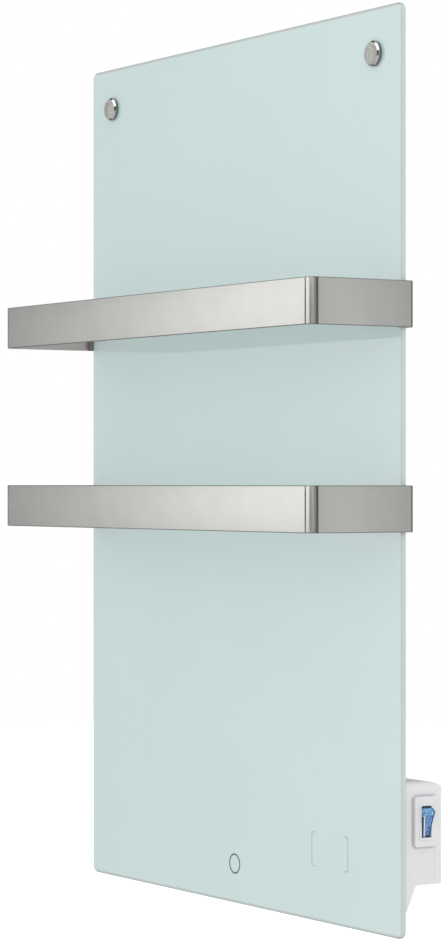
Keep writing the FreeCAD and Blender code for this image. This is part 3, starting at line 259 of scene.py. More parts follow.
def enamelled_glass():
    """Toughened glass, polished, with a mint enamel fired on its back and ground edges."""
    # The face mirrors softly over the enamel. Near the outline a greyer line is partly the ground edge and
    # partly painted shade of the edge seen through the glass, greyer along the ends than along the sides.
    material, tree, place = new_material("back_enamelled_glass")
    centred = add(tree, "ShaderNodeVectorMath", {0: place, 1: GLASS_MIDDLE}, operation="SUBTRACT")
    folded = add(tree, "ShaderNodeVectorMath", {0: centred.outputs[0]}, operation="ABSOLUTE")
    parts = add(tree, "ShaderNodeSeparateXYZ", {0: folded.outputs[0]})
    side = add(tree, "ShaderNodeMath", {0: GLASS_HALF.x - SIDE_LINE_WIDTH, 1: parts.outputs[0]},
               operation="SUBTRACT")
    end = add(tree, "ShaderNodeMath", {0: GLASS_HALF.z - END_LINE_WIDTH, 1: parts.outputs[2]},
              operation="SUBTRACT")
    margin = add(tree, "ShaderNodeMath", {0: side.outputs[0], 1: end.outputs[0]}, operation="MINIMUM")
    inside = add(tree, "ShaderNodeMapRange", {"Value": margin.outputs[0], "From Max": EDGE_LINE_BLUR})
    upright = add(tree, "ShaderNodeMath", {0: side.outputs[0], 1: end.outputs[0]}, operation="LESS_THAN")
    cloud = add(tree, "ShaderNodeTexNoise", {"Vector": place, "Scale": per_size(160.0), "Detail": 2.0})
    enamel = add(tree, "ShaderNodeMix", {0: cloud.outputs[0], 6: linear("#CADFDD"), 7: linear("#CFE3E1")},
                 data_type="RGBA")
    # Ground edge and painted shade: greyer along the ends than along the sides.
    ground_edge_and_shade = add(tree, "ShaderNodeMix", {0: upright.outputs[0], 6: linear("#BFC8C6"), 7: linear("#CCD9D5")},
                 data_type="RGBA")
    front = add(tree, "ShaderNodeMix", {0: inside.outputs[0], 6: ground_edge_and_shade.outputs[2], 7: enamel.outputs[2]},
                data_type="RGBA")
    depth = add(tree, "ShaderNodeSeparateXYZ", {0: place})
    behind = add(tree, "ShaderNodeMath", {0: depth.outputs[1], 1: GLASS_HIGH.y - BACK_SKIN},
                 operation="GREATER_THAN")
    both = add(tree, "ShaderNodeMix", {0: behind.outputs[0], 6: front.outputs[2], 7: linear("#C9D2CF")},
               data_type="RGBA")
    polish = add(tree, "ShaderNodeMapRange", {"Value": behind.outputs[0], "To Min": 0.05, "To Max": 0.45})
    shader = add(tree, "ShaderNodeBsdfPrincipled",
                 {"Base Color": both.outputs[2], "Roughness": polish.outputs[0], "IOR": 1.52,
                  "Specular IOR Level": 0.34})
    add(tree, "ShaderNodeOutputMaterial", {"Surface": shader.outputs[0]})
    return material


def brushed_stainless():
    """Stainless strip, ground along its length with a fine belt."""
    # Fine lines run along the strip, so a light is drawn out across them. The lines of a belt are about
    # 0.1 mm apart, and are drawn about 0.9 mm apart here so that they show.
    material, tree, place = new_material("brushed_stainless_steel")
    along = add(tree, "ShaderNodeUVMap", uv_map="strip").outputs[0]
    lines = add(tree, "ShaderNodeMapping", {"Vector": along, "Scale": (per_size(70.0), per_size(0.9), 1.0)})
    belt = add(tree, "ShaderNodeTexNoise", {"Vector": lines.outputs[0], "Scale": 1.0, "Detail": 3.0})
    patches = add(tree, "ShaderNodeMapping",
                  {"Vector": along, "Scale": (per_size(28.0), per_size(40.0), 1.0)})
    bands = add(tree, "ShaderNodeTexNoise", {"Vector": patches.outputs[0], "Scale": 1.0, "Detail": 2.0})
    mixed = add(tree, "ShaderNodeMix", {0: 0.35, 2: belt.outputs[0], 3: bands.outputs[0]})
    outside = add(tree, "ShaderNodeMix", {0: mixed.outputs[0], 6: linear("#B3B3B0"), 7: linear("#D0D0CD")},
                  data_type="RGBA")
    # Its two edges are painted darker, as painted shade along the top and bottom of the strip.
    low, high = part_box("upper_towel_bar")
    height = add(tree, "ShaderNodeMath", {0: add(tree, "ShaderNodeSeparateXYZ", {0: along}).outputs[1]},
                 operation="ABSOLUTE")
    edge_shade_band = add(tree, "ShaderNodeMath", {0: height.outputs[0], 1: (high.z - low.z) / 2 - BAR_EDGE_SHADE},
              operation="GREATER_THAN")
    edge_shaded = add(tree, "ShaderNodeMix", {0: edge_shade_band.outputs[0], 6: outside.outputs[2], 7: linear("#8E8E8B")},
                data_type="RGBA")
    # The tight bend at each lip is painted dark, as painted shade.
    spot = add(tree, "ShaderNodeSeparateXYZ", {0: place})
    aside = add(tree, "ShaderNodeMath", {0: spot.outputs[0]}, operation="ABSOLUTE")
    end = add(tree, "ShaderNodeMath", {0: aside.outputs[0], 1: high.x - BAR_LIP_BEND_RADIUS},
              operation="GREATER_THAN")
    back = add(tree, "ShaderNodeMath", {0: spot.outputs[1], 1: high.y - BAR_LIP_BEND_RADIUS},
               operation="GREATER_THAN")
    lip_bend_shade = add(tree, "ShaderNodeMath", {0: end.outputs[0], 1: back.outputs[0]}, operation="MULTIPLY")
    lip_bend_shaded = add(tree, "ShaderNodeMix", {0: lip_bend_shade.outputs[0], 6: edge_shaded.outputs[2], 7: linear("#6A6865")},
                  data_type="RGBA")
    # The inner side keeps the duller finish of the rolling mill, and its warm pale tone is painted light and
    # shade, set for how that side looks in the bar's own shade.
    outward = add(tree, "ShaderNodeVectorMath", {0: place, 1: (1, 1, 0), 2: (0, -(low.y + high.y) / 2, 0)},
                  operation="MULTIPLY_ADD")
    normal = add(tree, "ShaderNodeNewGeometry").outputs["Normal"]
    facing = add(tree, "ShaderNodeVectorMath", {0: normal, 1: outward.outputs[0]}, operation="DOT_PRODUCT")
    inner = add(tree, "ShaderNodeMath", {0: facing.outputs["Value"], 1: 0.0}, operation="LESS_THAN")
    both = add(tree, "ShaderNodeMix", {0: inner.outputs[0], 6: lip_bend_shaded.outputs[2], 7: linear("#E8D8D6")},
               data_type="RGBA")
    brushed = add(tree, "ShaderNodeMapRange", {"Value": belt.outputs[0], "To Min": 0.26, "To Max": 0.36})
    polish = add(tree, "ShaderNodeMath", {0: inner.outputs[0], 1: 0.2, 2: brushed.outputs[0]},
                 operation="MULTIPLY_ADD")
    upright = add(tree, "ShaderNodeCombineXYZ", {2: 1.0})
    shader = add(tree, "ShaderNodeBsdfPrincipled",
                 {"Base Color": both.outputs[2], "Roughness": polish.outputs[0], "Metallic": 1.0,
                  "Anisotropic": 0.8, "Tangent": upright.outputs[0]})
    add(tree, "ShaderNodeOutputMaterial", {"Surface": shader.outputs[0]})
    return material


def cap_steel():
    """Turned stainless cap: a face rubbed on fine grit, a polished chamfer and a plain turned wall."""
    # The face is grey and grainy, the chamfer mirrors light and dark, and the wall is painted darkest, as
    # painted shade.
    material, tree, place = new_material("turned_cap_stainless")
    grit = add(tree, "ShaderNodeTexNoise", {"Vector": place, "Scale": per_size(1.5), "Detail": 3.0})
    spread = add(tree, "ShaderNodeMapRange", {"Value": grit.outputs[0], "From Min": 0.35, "From Max": 0.65})
    face = add(tree, "ShaderNodeMix", {0: spread.outputs[0], 6: linear("#94948F"), 7: linear("#BFBFBA")},
               data_type="RGBA")
    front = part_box("cap_left")[0].y
    depth = add(tree, "ShaderNodeSeparateXYZ", {0: place})
    rim = add(tree, "ShaderNodeMath", {0: depth.outputs[1], 1: front + CAP_FACE_DEPTH},
              operation="GREATER_THAN")
    shaded_wall = add(tree, "ShaderNodeMath", {0: depth.outputs[1], 1: front + CAP_CHAMFER},
               operation="GREATER_THAN")
    chamfer_and_shaded_wall = add(tree, "ShaderNodeMix", {0: shaded_wall.outputs[0], 6: linear("#DCDBD8"), 7: linear("#8A8E8C")},
                  data_type="RGBA")
    tone = add(tree, "ShaderNodeMix", {0: rim.outputs[0], 6: face.outputs[2], 7: chamfer_and_shaded_wall.outputs[2]},
               data_type="RGBA")
    polish = add(tree, "ShaderNodeMapRange", {"Value": rim.outputs[0], "To Min": 0.3, "To Max": 0.07})
    shader = add(tree, "ShaderNodeBsdfPrincipled",
                 {"Base Color": tone.outputs[2], "Roughness": polish.outputs[0], "Metallic": 1.0})
    add(tree, "ShaderNodeOutputMaterial", {"Surface": shader.outputs[0]})
    return material


def zinc_plated_steel():
    """Bright zinc plate on small steel fasteners, faintly clouded."""
    return bare_metal("zinc_plated_steel", "#A9ADB2", "#C6C9CB", 3.0, 0.32)


def galvanised_sheet():
    """Hot-dip galvanised sheet: crystals of zinc about 12 mm wide, each with its own tone."""
    # Each crystal mirrors a little more or less than its neighbour, so the sheet looks like faint frost.
    material, tree, place = new_material("galvanised_sheet_steel")
    spangle = add(tree, "ShaderNodeTexVoronoi", {"Vector": place, "Scale": per_size(12.0)})
    shade = add(tree, "ShaderNodeSeparateColor", {0: spangle.outputs["Color"]})
    tone = add(tree, "ShaderNodeMix", {0: shade.outputs[0], 6: linear("#B0B5B7"), 7: linear("#C3C7C9")},
               data_type="RGBA")
    polish = add(tree, "ShaderNodeMapRange", {"Value": shade.outputs[1], "To Min": 0.36, "To Max": 0.5})
    shader = add(tree, "ShaderNodeBsdfPrincipled",
                 {"Base Color": tone.outputs[2], "Roughness": polish.outputs[0], "Metallic": 1.0})
    add(tree, "ShaderNodeOutputMaterial", {"Surface": shader.outputs[0]})
    return material


def white_powder_coat():
    """Baked powder paint on folded steel, with a slight orange peel."""
    return moulded("white_powder_coat", "#DADCDC", "#E2E3E3", 40.0, 1.6, 0.38, grain_height_mm=0.05)


def satin_abs():
    """Injection-moulded ABS, satin, from a finely eroded mould."""
    # Its corners are painted grey, as painted shade where little light reaches, and it shows a faint line
    # where the mould closed.
    material, tree, place = new_material("satin_white_abs")
    mottle = add(tree, "ShaderNodeTexNoise", {"Vector": place, "Scale": per_size(30.0), "Detail": 3.0})
    grain = add(tree, "ShaderNodeTexNoise", {"Vector": place, "Scale": per_size(0.7), "Detail": 2.0})
    plastic = add(tree, "ShaderNodeMix", {0: mottle.outputs[0], 6: linear("#E9E9EB"), 7: linear("#EEEEF0")},
                  data_type="RGBA")
    parts = add(tree, "ShaderNodeSeparateXYZ", {0: place})
    line = add(tree, "ShaderNodeMath", {0: parts.outputs[1], 1: -SEAM_FROM_WALL, 2: SEAM_WIDTH / 2},
               operation="COMPARE")
    seam_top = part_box("switch_body")[0].z - SEAM_BELOW_SWITCH
    below = add(tree, "ShaderNodeMath", {0: parts.outputs[2], 1: seam_top}, operation="LESS_THAN")
    seam = add(tree, "ShaderNodeMath", {0: line.outputs[0], 1: below.outputs[0]}, operation="MULTIPLY")
    seamed = add(tree, "ShaderNodeMix", {0: seam.outputs[0], 6: plastic.outputs[2], 7: linear("#DEDEE1")},
                 data_type="RGBA")
    painted_corner_shade = add(tree, "ShaderNodeAmbientOcclusion", {"Distance": CORNER_SHADE}, samples=8, only_local=True)
    lit = add(tree, "ShaderNodeMapRange", {"Value": painted_corner_shade.outputs["AO"], "From Min": 0.5, "From Max": 0.9})
    tone = add(tree, "ShaderNodeMix", {0: lit.outputs[0], 6: linear("#C3C3C7"), 7: seamed.outputs[2]},
               data_type="RGBA")
    polish = add(tree, "ShaderNodeMapRange", {"Value": grain.outputs[0], "To Min": 0.28, "To Max": 0.4})
    relief = add(tree, "ShaderNodeBump", {"Height": grain.outputs[0], "Distance": 0.02 * MM,
                                          "Strength": GRAIN_STRENGTH})
    shader = add(tree, "ShaderNodeBsdfPrincipled",
                 {"Base Color": tone.outputs[2], "Roughness": polish.outputs[0], "Normal": relief.outputs[0],
                  "IOR": 1.54})
    add(tree, "ShaderNodeOutputMaterial", {"Surface": shader.outputs[0]})
    return material


def grained_abs():
    """Moulded ABS with a coarser mould grain, duller than the cover, on pieces behind the glass."""
    return moulded("grained_white_abs", "#D3D4D3", "#DCDCDB", 25.0, 0.9, 0.5, grain_height_mm=0.04, ior=1.54)


def blue_polycarbonate():
    """Clear blue polycarbonate: a rim painted deep blue as shade, and a face painted lit, with painted
    glints.
    """
    # The rim is painted dark as painted shade, a painted white highlight runs beside it, and the slope that
    # stands up to the light is painted palest as painted light.
    material, tree, place = new_material("clear_blue_polycarbonate")
    low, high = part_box("rocker")
    half = (high - low) / 2
    centred = add(tree, "ShaderNodeVectorMath", {0: place, 1: (low + high) / 2}, operation="SUBTRACT")
    parts = add(tree, "ShaderNodeSeparateXYZ", {0: centred.outputs[0]})
    slope = add(tree, "ShaderNodeMapRange",
                {"Value": parts.outputs[2], "From Min": half.z - ROCKER_SLOPE_FOOT,
                 "From Max": half.z - ROCKER_SLOPE})
    inward = Vector((math.sin(ROCKER_SLANT), math.cos(ROCKER_SLANT), 0))
    start = inward.dot(Vector((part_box("switch_body")[1].x, low.y, 0)))
    slanted = add(tree, "ShaderNodeVectorMath", {0: place, 1: inward}, operation="DOT_PRODUCT")
    near = add(tree, "ShaderNodeMath", {0: slanted.outputs["Value"], 1: start}, operation="SUBTRACT")
    low_near = add(tree, "ShaderNodeMath", {0: near.outputs[0], 1: slope.outputs[0]}, operation="ADD")
    far = add(tree, "ShaderNodeMath", {0: half.y, 1: parts.outputs[1]}, operation="SUBTRACT")
    height = add(tree, "ShaderNodeMath", {0: parts.outputs[2]}, operation="ABSOLUTE")
    end = add(tree, "ShaderNodeMath", {0: half.z, 1: height.outputs[0]}, operation="SUBTRACT")
    sides = add(tree, "ShaderNodeMath", {0: low_near.outputs[0], 1: far.outputs[0]}, operation="MINIMUM")
    margin = add(tree, "ShaderNodeMath", {0: sides.outputs[0], 1: end.outputs[0]}, operation="MINIMUM")
    inside = add(tree, "ShaderNodeMapRange",
                 {"Value": margin.outputs[0], "From Min": ROCKER_SHADED_RIM - ROCKER_BLUR,
                  "From Max": ROCKER_SHADED_RIM + ROCKER_BLUR})
    # Painted glints: pale flecks over the face, and an upper slope painted paler as painted light.
    painted_glints = add(tree, "ShaderNodeTexNoise", {"Vector": place, "Scale": per_size(1.8), "Detail": 3.0})
    spread = add(tree, "ShaderNodeMapRange", {"Value": painted_glints.outputs[0], "From Min": 0.38, "From Max": 0.66})
    lower = add(tree, "ShaderNodeMix", {0: spread.outputs[0], 6: linear("#35659F"), 7: linear("#7FB0E6")},
                data_type="RGBA")
    upper = add(tree, "ShaderNodeMix", {0: spread.outputs[0], 6: linear("#3C82C2"), 7: linear("#92CAF2")},
                data_type="RGBA")
    face = add(tree, "ShaderNodeMix", {0: slope.outputs[0], 6: lower.outputs[2], 7: upper.outputs[2]},
               data_type="RGBA")
    # Painted shade on the rim, and a painted highlight line beside it.
    rim_shaded = add(tree, "ShaderNodeMix", {0: inside.outputs[0], 6: linear("#183858"), 7: face.outputs[2]},
                 data_type="RGBA")
    highlight_stripe = add(tree, "ShaderNodeMath", {0: near.outputs[0], 1: ROCKER_SHADED_RIM + ROCKER_HIGHLIGHT_LINE / 2,
                                          2: ROCKER_HIGHLIGHT_LINE / 2}, operation="COMPARE")
    line = add(tree, "ShaderNodeMath", {0: highlight_stripe.outputs[0], 1: slope.outputs[0]}, operation="SUBTRACT",
               use_clamp=True)
    highlighted = add(tree, "ShaderNodeMix", {0: line.outputs[0], 6: rim_shaded.outputs[2], 7: linear("#E4EEF9")},
                data_type="RGBA")
    shader = add(tree, "ShaderNodeBsdfPrincipled",
                 {"Base Color": highlighted.outputs[2], "Roughness": 0.08, "IOR": 1.585})
    add(tree, "ShaderNodeOutputMaterial", {"Surface": shader.outputs[0]})
    return material


def moulded_rubber():
    """Dark grey moulded rubber, matt, with a dusty bloom."""
    return moulded("dark_moulded_rubber", "#666B69", "#757A78", 4.0, 0.8, 0.68, 0.03, ior=1.52)


def silicone_bead():
    """Neutral silicone, milky, with a soft shine."""
    return moulded("milky_silicone", "#C4C8C6", "#D2D5D3", 9.0, 1.5, 0.34, 0.03, ior=1.41)


def natural_nylon():
    """Uncoloured nylon, waxy and slightly yellow."""
    return moulded("natural_nylon", "#D5D2C6", "#DEDCD2", 6.0, 0.8, 0.45, ior=1.53)


def grey_nylon():
    """Light grey nylon of cable fittings, satin from its mould."""
    return moulded("grey_nylon", "#9A9C9E", "#A6A8AA", 6.0, 0.8, 0.46, ior=1.53)


def heating_foil():
    """Rolled aluminium foil with lines along its rolling direction."""
    return bare_metal("etched_aluminium_foil", "#B4B6B8", "#CDCFD0", 1.5, 0.36, stretch=(1.0, 1.0, 0.04))


def pressed_mica():
    """Pressed mica flakes, amber grey, with a pearly shine."""
    return moulded("pressed_mica", "#9B907A", "#B5AA92", 6.0, 1.4, 0.36, ior=1.58)


def mineral_fibre():
    """Pressed mineral fibre board, dull and felted."""
    return moulded("mineral_fibre_board", "#BDB394", "#D0C7AB", 5.0, 1.2, 0.88, grain_height_mm=0.2)


def foam_tape():
    """Grey acrylic foam tape with open cells on its cut edge."""
    return moulded("acrylic_foam_tape", "#3B3D3E", "#505253", 2.0, 0.6, 0.8, grain_height_mm=0.08)


def tinned_brass():
    """Brass stampings with a thin coat of tin, so that the yellow of the brass is pale."""
    return bare_metal("tinned_brass", "#B5A77C", "#CFC6A6", 2.5, 0.34)


def black_phenolic():
    """Pressed phenolic resin, black with a faint flow pattern."""
    return moulded("black_phenolic", "#151514", "#262523", 5.0, 0.9, 0.4, ior=1.6)


def lamp_glass():
    """Small glass lamp, its pale blue painted as light from the blue lens above it."""
    return moulded("lamp_glass", "#BFD6EA", "#DCE9F4", 2.0, 0.6, 0.08, 0.002, ior=1.5)


def lead_insulation(name, first, second):
    """Extruded silicone insulation of a lead, smooth with a soft sheen."""
    return moulded(name + "_lead_insulation", first, second, 6.0, 0.7, 0.5, ior=1.43)


def fired_print(tone, first, second):
    """Fired print, darker than the enamel under it and less glossy."""
    return moulded("fired_" + tone + "_print", first, second, 3.0, 0.6, 0.3, ior=1.52)


# Surfaces

def unit(vectors):
    """Vectors scaled to length one."""
    return vectors / np.linalg.norm(vectors, axis=-1, keepdims=True)


def rounded_path(corners, steps):
    """Points of a polyline whose corners (point, radius) are rounded by tangent arcs.

    With unit directions b back and a ahead and half angle h between them, an arc of radius r starts at
    point + b * r / tan(h), and its centre lies on the bisector at r / sin(h).
    """
    points = [np.array(corners[0][0], float)]
    share = np.linspace(0, 1, steps)[:, None]
    for (before, _), (here, radius), (after, _) in zip(corners, corners[1:], corners[2:]):
        here = np.array(here, float)
        back = unit(np.array(before, float) - here)
        ahead = unit(np.array(after, float) - here)
        half = np.arccos(np.clip(back @ ahead, -1, 1)) / 2
        centre = here + unit(back + ahead) * radius / np.sin(half)
        start = here + back * radius / np.tan(half) - centre
        end = here + ahead * radius / np.tan(half) - centre
        sweep = np.pi - 2 * half
        arc = (start * np.sin((1 - share) * sweep) + end * np.sin(share * sweep)) / np.sin(sweep)
        points.extend(centre + arc)
    points.append(np.array(corners[-1][0], float))
    return np.array(points)


def rounded_section(width, height, radius):
    """Closed outline of a rectangle round the origin, with rounded corners, as (across, along) points.

    Each corner is a quarter circle: corner centre + radius * (cos t, sin t).
    """
    turns = np.linspace(0, np.pi / 2, EDGE_STEPS)
    quarters = []
    for i, (side, end) in enumerate(((1, 1), (-1, 1), (-1, -1), (1, -1))):
        angle = turns + i * np.pi / 2
        centre = np.array([side * (width / 2 - radius), end * (height / 2 - radius)])
        quarters.append(centre + radius * np.stack([np.cos(angle), np.sin(angle)], axis=1))
    return np.concatenate(quarters)


def carried(path, up, section, closed=False):
    """Grid of a section carried along a flat path: path + across * a + up * b.

    across is up x tangent, widened at each bend by the inverse cosine of half the turn.
    """
    if closed:
        ahead = unit(np.roll(path, -1, axis=0) - path)
        behind = np.roll(ahead, 1, axis=0)
    else:
        runs = unit(np.diff(path, axis=0))
        ahead = np.concatenate([runs, runs[-1:]])
        behind = np.concatenate([runs[:1], runs])
    tangent = unit(ahead + behind)
    widen = 1 / np.sum(tangent * ahead, axis=1, keepdims=True)
    across = np.cross(up, tangent) * widen
    return path[:, None, :] + across[:, None, :] * section[None, :, :1] + up * section[None, :, 1:]


def turned(radius, distance, centre, axis, side):
    """Grid of a turned surface: centre + axis * distance + radius * (side cos t + other sin t).

    radius has a row for each distance, and one column, or one for each step of the turn where it varies.
    """
    other = np.cross(axis, side)
    spokes = side * np.cos(TURN)[:, None] + other * np.sin(TURN)[:, None]
    return np.array(centre) + axis * distance[:, None, None] + spokes * radius[..., None]


def skin(name, grid, material, body, loop=False, strip_uv=None):
    """Closed mesh over a (rows, columns, 3) grid whose columns wrap.

    Its ends are capped unless the rows loop. Its faces are turned round where the volume that they enclose,
    the sum of a . (b x c) over their triangles, comes out negative.
    """
    rows, columns, _ = grid.shape
    index = np.arange(rows * columns).reshape(rows, columns)
    start = index if loop else index[:-1]
    following = np.roll(index, -1, axis=0) if loop else index[1:]
    corners = [start, np.roll(start, -1, 1), np.roll(following, -1, 1), following]
    quads = np.stack(corners, axis=-1).reshape(-1, 4)
    ends = np.empty((0, columns), int) if loop else np.stack([index[0, ::-1], index[-1]])
    points = grid.reshape(-1, 3)
    a, b, c, d = np.moveaxis(points[quads], 1, 0)
    volume = np.sum(a * np.cross(b, c) + a * np.cross(c, d))
    if volume < 0:
        quads = quads[:, ::-1]
        ends = ends[:, ::-1]
    mesh = bpy.data.meshes.new(name)
    mesh.from_pydata(points.tolist(), [], quads.tolist() + ends.tolist())
    mesh.polygons.foreach_set("use_smooth", np.ones(len(mesh.polygons), bool))
    mesh.set_sharp_from_angle(angle=SHARP_EDGE)
    if strip_uv is not None:
        corner_points = np.empty(len(mesh.loops), np.int32)
        mesh.loops.foreach_get("vertex_index", corner_points)
        layer = mesh.uv_layers.new(name="strip")
        layer.data.foreach_set("uv", strip_uv.reshape(-1, 2)[corner_points].astype(np.float32).ravel())
    mesh.materials.append(material)
    piece = bpy.data.objects.new(name, mesh)
    bpy.context.scene.collection.objects.link(piece)
    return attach(piece, body)


# Pieces

def towel_bar(side, material):
    """Steel strip of one bar: a rounded section carried along lip, leg, front run, leg and lip."""
    node = side + "_towel_bar"
    low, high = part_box(node)
    half = BAR_STOCK / 2
    middle = (low.z + high.z) / 2
    x = high.x - half
    front = low.y + half
    lip = high.y - half
    lip_end = high.x - BAR_LIP_LENGTH
    bend = BAR_BEND_RADIUS - half
    lip_bend = BAR_LIP_BEND_RADIUS - half
    right = [((lip_end, lip, middle), 0), ((x, lip, middle), lip_bend), ((x, front, middle), bend)]
    left = [((-point[0], point[1], point[2]), radius) for point, radius in reversed(right)]
    path = rounded_path(right + left, BEND_STEPS)
    section = rounded_section(BAR_STOCK, high.z - low.z, BAR_EDGE_RADIUS)
    grid = carried(path, Z_AXIS, section)
    length = np.concatenate([[0], np.cumsum(np.linalg.norm(np.diff(path, axis=0), axis=1))])
    along = np.broadcast_to(length[:, None], grid.shape[:2])
    strip_uv = np.stack([along, grid[..., 2] - middle], axis=-1)
    piece = skin(side + "_bar_strip", grid, material, side + "_bar", strip_uv=strip_uv)
    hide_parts(node)


def cap(node, material):
    """Turned cap with its stud: a (radius, distance) profile with rounded corners, turned round Y."""
    low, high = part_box(node)
    radius = (high.x - low.x) / 2
    length = high.y - low.y
    corners = [((TURNING_POLE, 0), 0), ((radius - CAP_CHAMFER, 0), CAP_SOFT_EDGE),
               ((radius, CAP_CHAMFER), CAP_SOFT_EDGE), ((radius, CAP_HEAD), CAP_SOFT_EDGE),
               ((CAP_STUD_RADIUS, CAP_HEAD), CAP_SOFT_EDGE), ((CAP_STUD_RADIUS, length), CAP_SOFT_EDGE),
               ((TURNING_POLE, length), 0)]
    profile = rounded_path(corners, EDGE_STEPS)
    centre = ((low.x + high.x) / 2, low.y, (low.z + high.z) / 2)
    grid = turned(profile[:, :1], profile[:, 1], centre, Y_AXIS, X_AXIS)
    piece = skin(node + "_turned", grid, material, "heater")
    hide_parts(node)


def ribbed_nut(material):
    """Gland nut with a ribbed grip: a closed (radius, distance) profile turned round Z.

    Its outer radius is less between the ribs, by groove * (0.5 + 0.5 cos(ribs * t)) cubed.
    """
    low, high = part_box("gland_nut")
    outer = (high.x - low.x) / 2
    neck = outer - NUT_WALL
    length = high.z - low.z
    stem = length - NUT_END
    seam = ((neck, stem / 2), 0)
    bends = [(neck, 0), (outer, 0), (outer, stem), (neck, length), (NUT_MOUTH, length), (NUT_MOUTH, stem),
             (neck, stem)]
    corners = [seam, *((bend, NUT_SOFT_EDGE) for bend in bends), seam]
    profile = rounded_path(corners, EDGE_STEPS)[:-1]
    grip = profile[:, :1] > neck + NUT_WALL / 2
    radius = profile[:, :1] - grip * NUT_GROOVE * (0.5 + 0.5 * np.cos(NUT_RIBS * TURN)) ** 3
    centre = ((low.x + high.x) / 2, (low.y + high.y) / 2, high.z)
    grid = turned(radius, profile[:, 1], centre, -Z_AXIS, X_AXIS)
    piece = skin("gland_nut_ribbed", grid, material, "heater", loop=True)
    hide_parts("gland_nut")


def bracket_mark(name, x, tick, material):
    """Printed bracket: a flat line carried down the bracket's back, with a short tick at each end."""
    y = GLASS_LOW.y - MARK_THICKNESS / 2
    low = GLASS_LOW.z + BRACKET_RISE[0]
    high = GLASS_LOW.z + BRACKET_RISE[1]
    corners = [((x + tick, y, high), 0), ((x, y, high), BRACKET_CORNER), ((x, y, low), BRACKET_CORNER),
               ((x + tick, y, low), 0)]
    section = rounded_section(BRACKET_LINE, MARK_THICKNESS, MARK_EDGE_RADIUS)
    skin(name, carried(rounded_path(corners, EDGE_STEPS), Y_AXIS, section), material, "heater")


def ring_mark(material):
    """Printed plain ring: a flat line carried round a circle."""
    circle = np.stack([RING_RADIUS * np.cos(TURN), np.zeros_like(TURN), RING_RADIUS * np.sin(TURN)], axis=1)
    circle += np.array([0, GLASS_LOW.y - MARK_THICKNESS / 2, GLASS_LOW.z + RING_RISE])
    section = rounded_section(RING_LINE, MARK_THICKNESS, MARK_EDGE_RADIUS)
    skin("ring_mark", carried(circle, Y_AXIS, section, closed=True), material, "heater", loop=True)


def dress(finish, *nodes):
    """Puts one finish on CAD nodes."""
    for node in nodes:
        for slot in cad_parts[node].material_slots:
            slot.material = finish


def dress_solids(nylon):
    """Finish of every solid that shows or can be uncovered."""
    dress(enamelled_glass(), "glass_panel")
    dress(zinc_plated_steel(), "cap_nuts", "cover_screws", "terminal_screws", "earth_stud", "earth_nut",
          "rocker_pin", "upper_bar_set_screws", "lower_bar_set_screws")
    dress(galvanised_sheet(), "rear_tray", "hanger_rail")
    dress(white_powder_coat(), "wall_rail")
    dress(satin_abs(), "box_cover", "switch_body")
    dress(grained_abs(), "box_base", "spacer_left", "spacer_right")
    dress(blue_polycarbonate(), "rocker")
    dress(moulded_rubber(), "upper_bar_grips", "lower_bar_grips", "spacer_tips", "cap_rear_washers",
          "tray_grommet", "box_grommet", "gland_seal")
    dress(silicone_bead(), "tray_seal", "cap_front_washers")
    dress(natural_nylon(), "cap_bushes", "terminal_block")
    dress(nylon, "cable_gland", "gland_locknut")
    dress(heating_foil(), "heater_foil")
    dress(pressed_mica(), "heater_backing")
    dress(mineral_fibre(), "insulation_board")
    dress(foam_tape(), "box_tape")
    dress(tinned_brass(), "foil_crimps", "earth_tag", "switch_tabs")
    dress(black_phenolic(), "thermal_cutout")
    dress(lamp_glass(), "switch_lamp")
    dress(lead_insulation("brown", "#4A2613", "#58301A"), "live_lead", "switched_lead", "cutout_jumper")
    dress(lead_insulation("blue", "#1A3C8C", "#23489C"), "neutral_lead")
    dress(lead_insulation("green", "#4E8C22", "#5A9A2C"), "earth_lead")


# Camera, floor and light

def photo_camera():
    """Camera at the photograph's viewing angle."""
    data = bpy.data.cameras.new("photo_camera")
    data.lens = FOCAL_LENGTH_PX / FRAME_HEIGHT_PX * SENSOR_LONG_SIDE_MM
    data.sensor_width = SENSOR_LONG_SIDE_MM
    camera = bpy.data.objects.new("photo_camera", data)
    level = math.cos(CAMERA_PITCH)
    forward = Vector((math.sin(CAMERA_YAW) * level, math.cos(CAMERA_YAW) * level, math.sin(CAMERA_PITCH)))
    camera.location = CAMERA_PLACE
    camera.rotation_mode = "QUATERNION"
    camera.rotation_quaternion = forward.to_track_quat("-Z", "Y")
    bpy.context.scene.collection.objects.link(camera)
    bpy.context.scene.camera = camera


def studio_floor():
    """Pale round floor below the heater: points at radius * (cos t, sin t)."""
    rim = np.stack([np.cos(TURN), np.sin(TURN), np.zeros_like(TURN)], axis=1) * FLOOR_RADIUS
    rim[:, 2] = CAD_LOW.z - FLOOR_DROP
    mesh = bpy.data.meshes.new("studio_floor")
    mesh.from_pydata(rim.tolist(), [], [list(range(TURN_STEPS))])
    material, tree, _ = new_material("pale_studio_floor")
    matt = add(tree, "ShaderNodeBsdfDiffuse", {"Color": linear("#E6E6E6")})
    path = add(tree, "ShaderNodeLightPath")
    glow = add(tree, "ShaderNodeMath", {0: path.outputs["Is Camera Ray"], 1: FLOOR_GLOW},
               operation="MULTIPLY")
    light = add(tree, "ShaderNodeEmission", {"Strength": glow.outputs[0]})
    both = add(tree, "ShaderNodeAddShader", {0: matt.outputs[0], 1: light.outputs[0]})
    add(tree, "ShaderNodeOutputMaterial", {"Surface": both.outputs[0]})
    mesh.materials.append(material)
    floor = bpy.data.objects.new("studio_floor", mesh)
    floor.visible_glossy = False
    bpy.context.scene.collection.objects.link(floor)


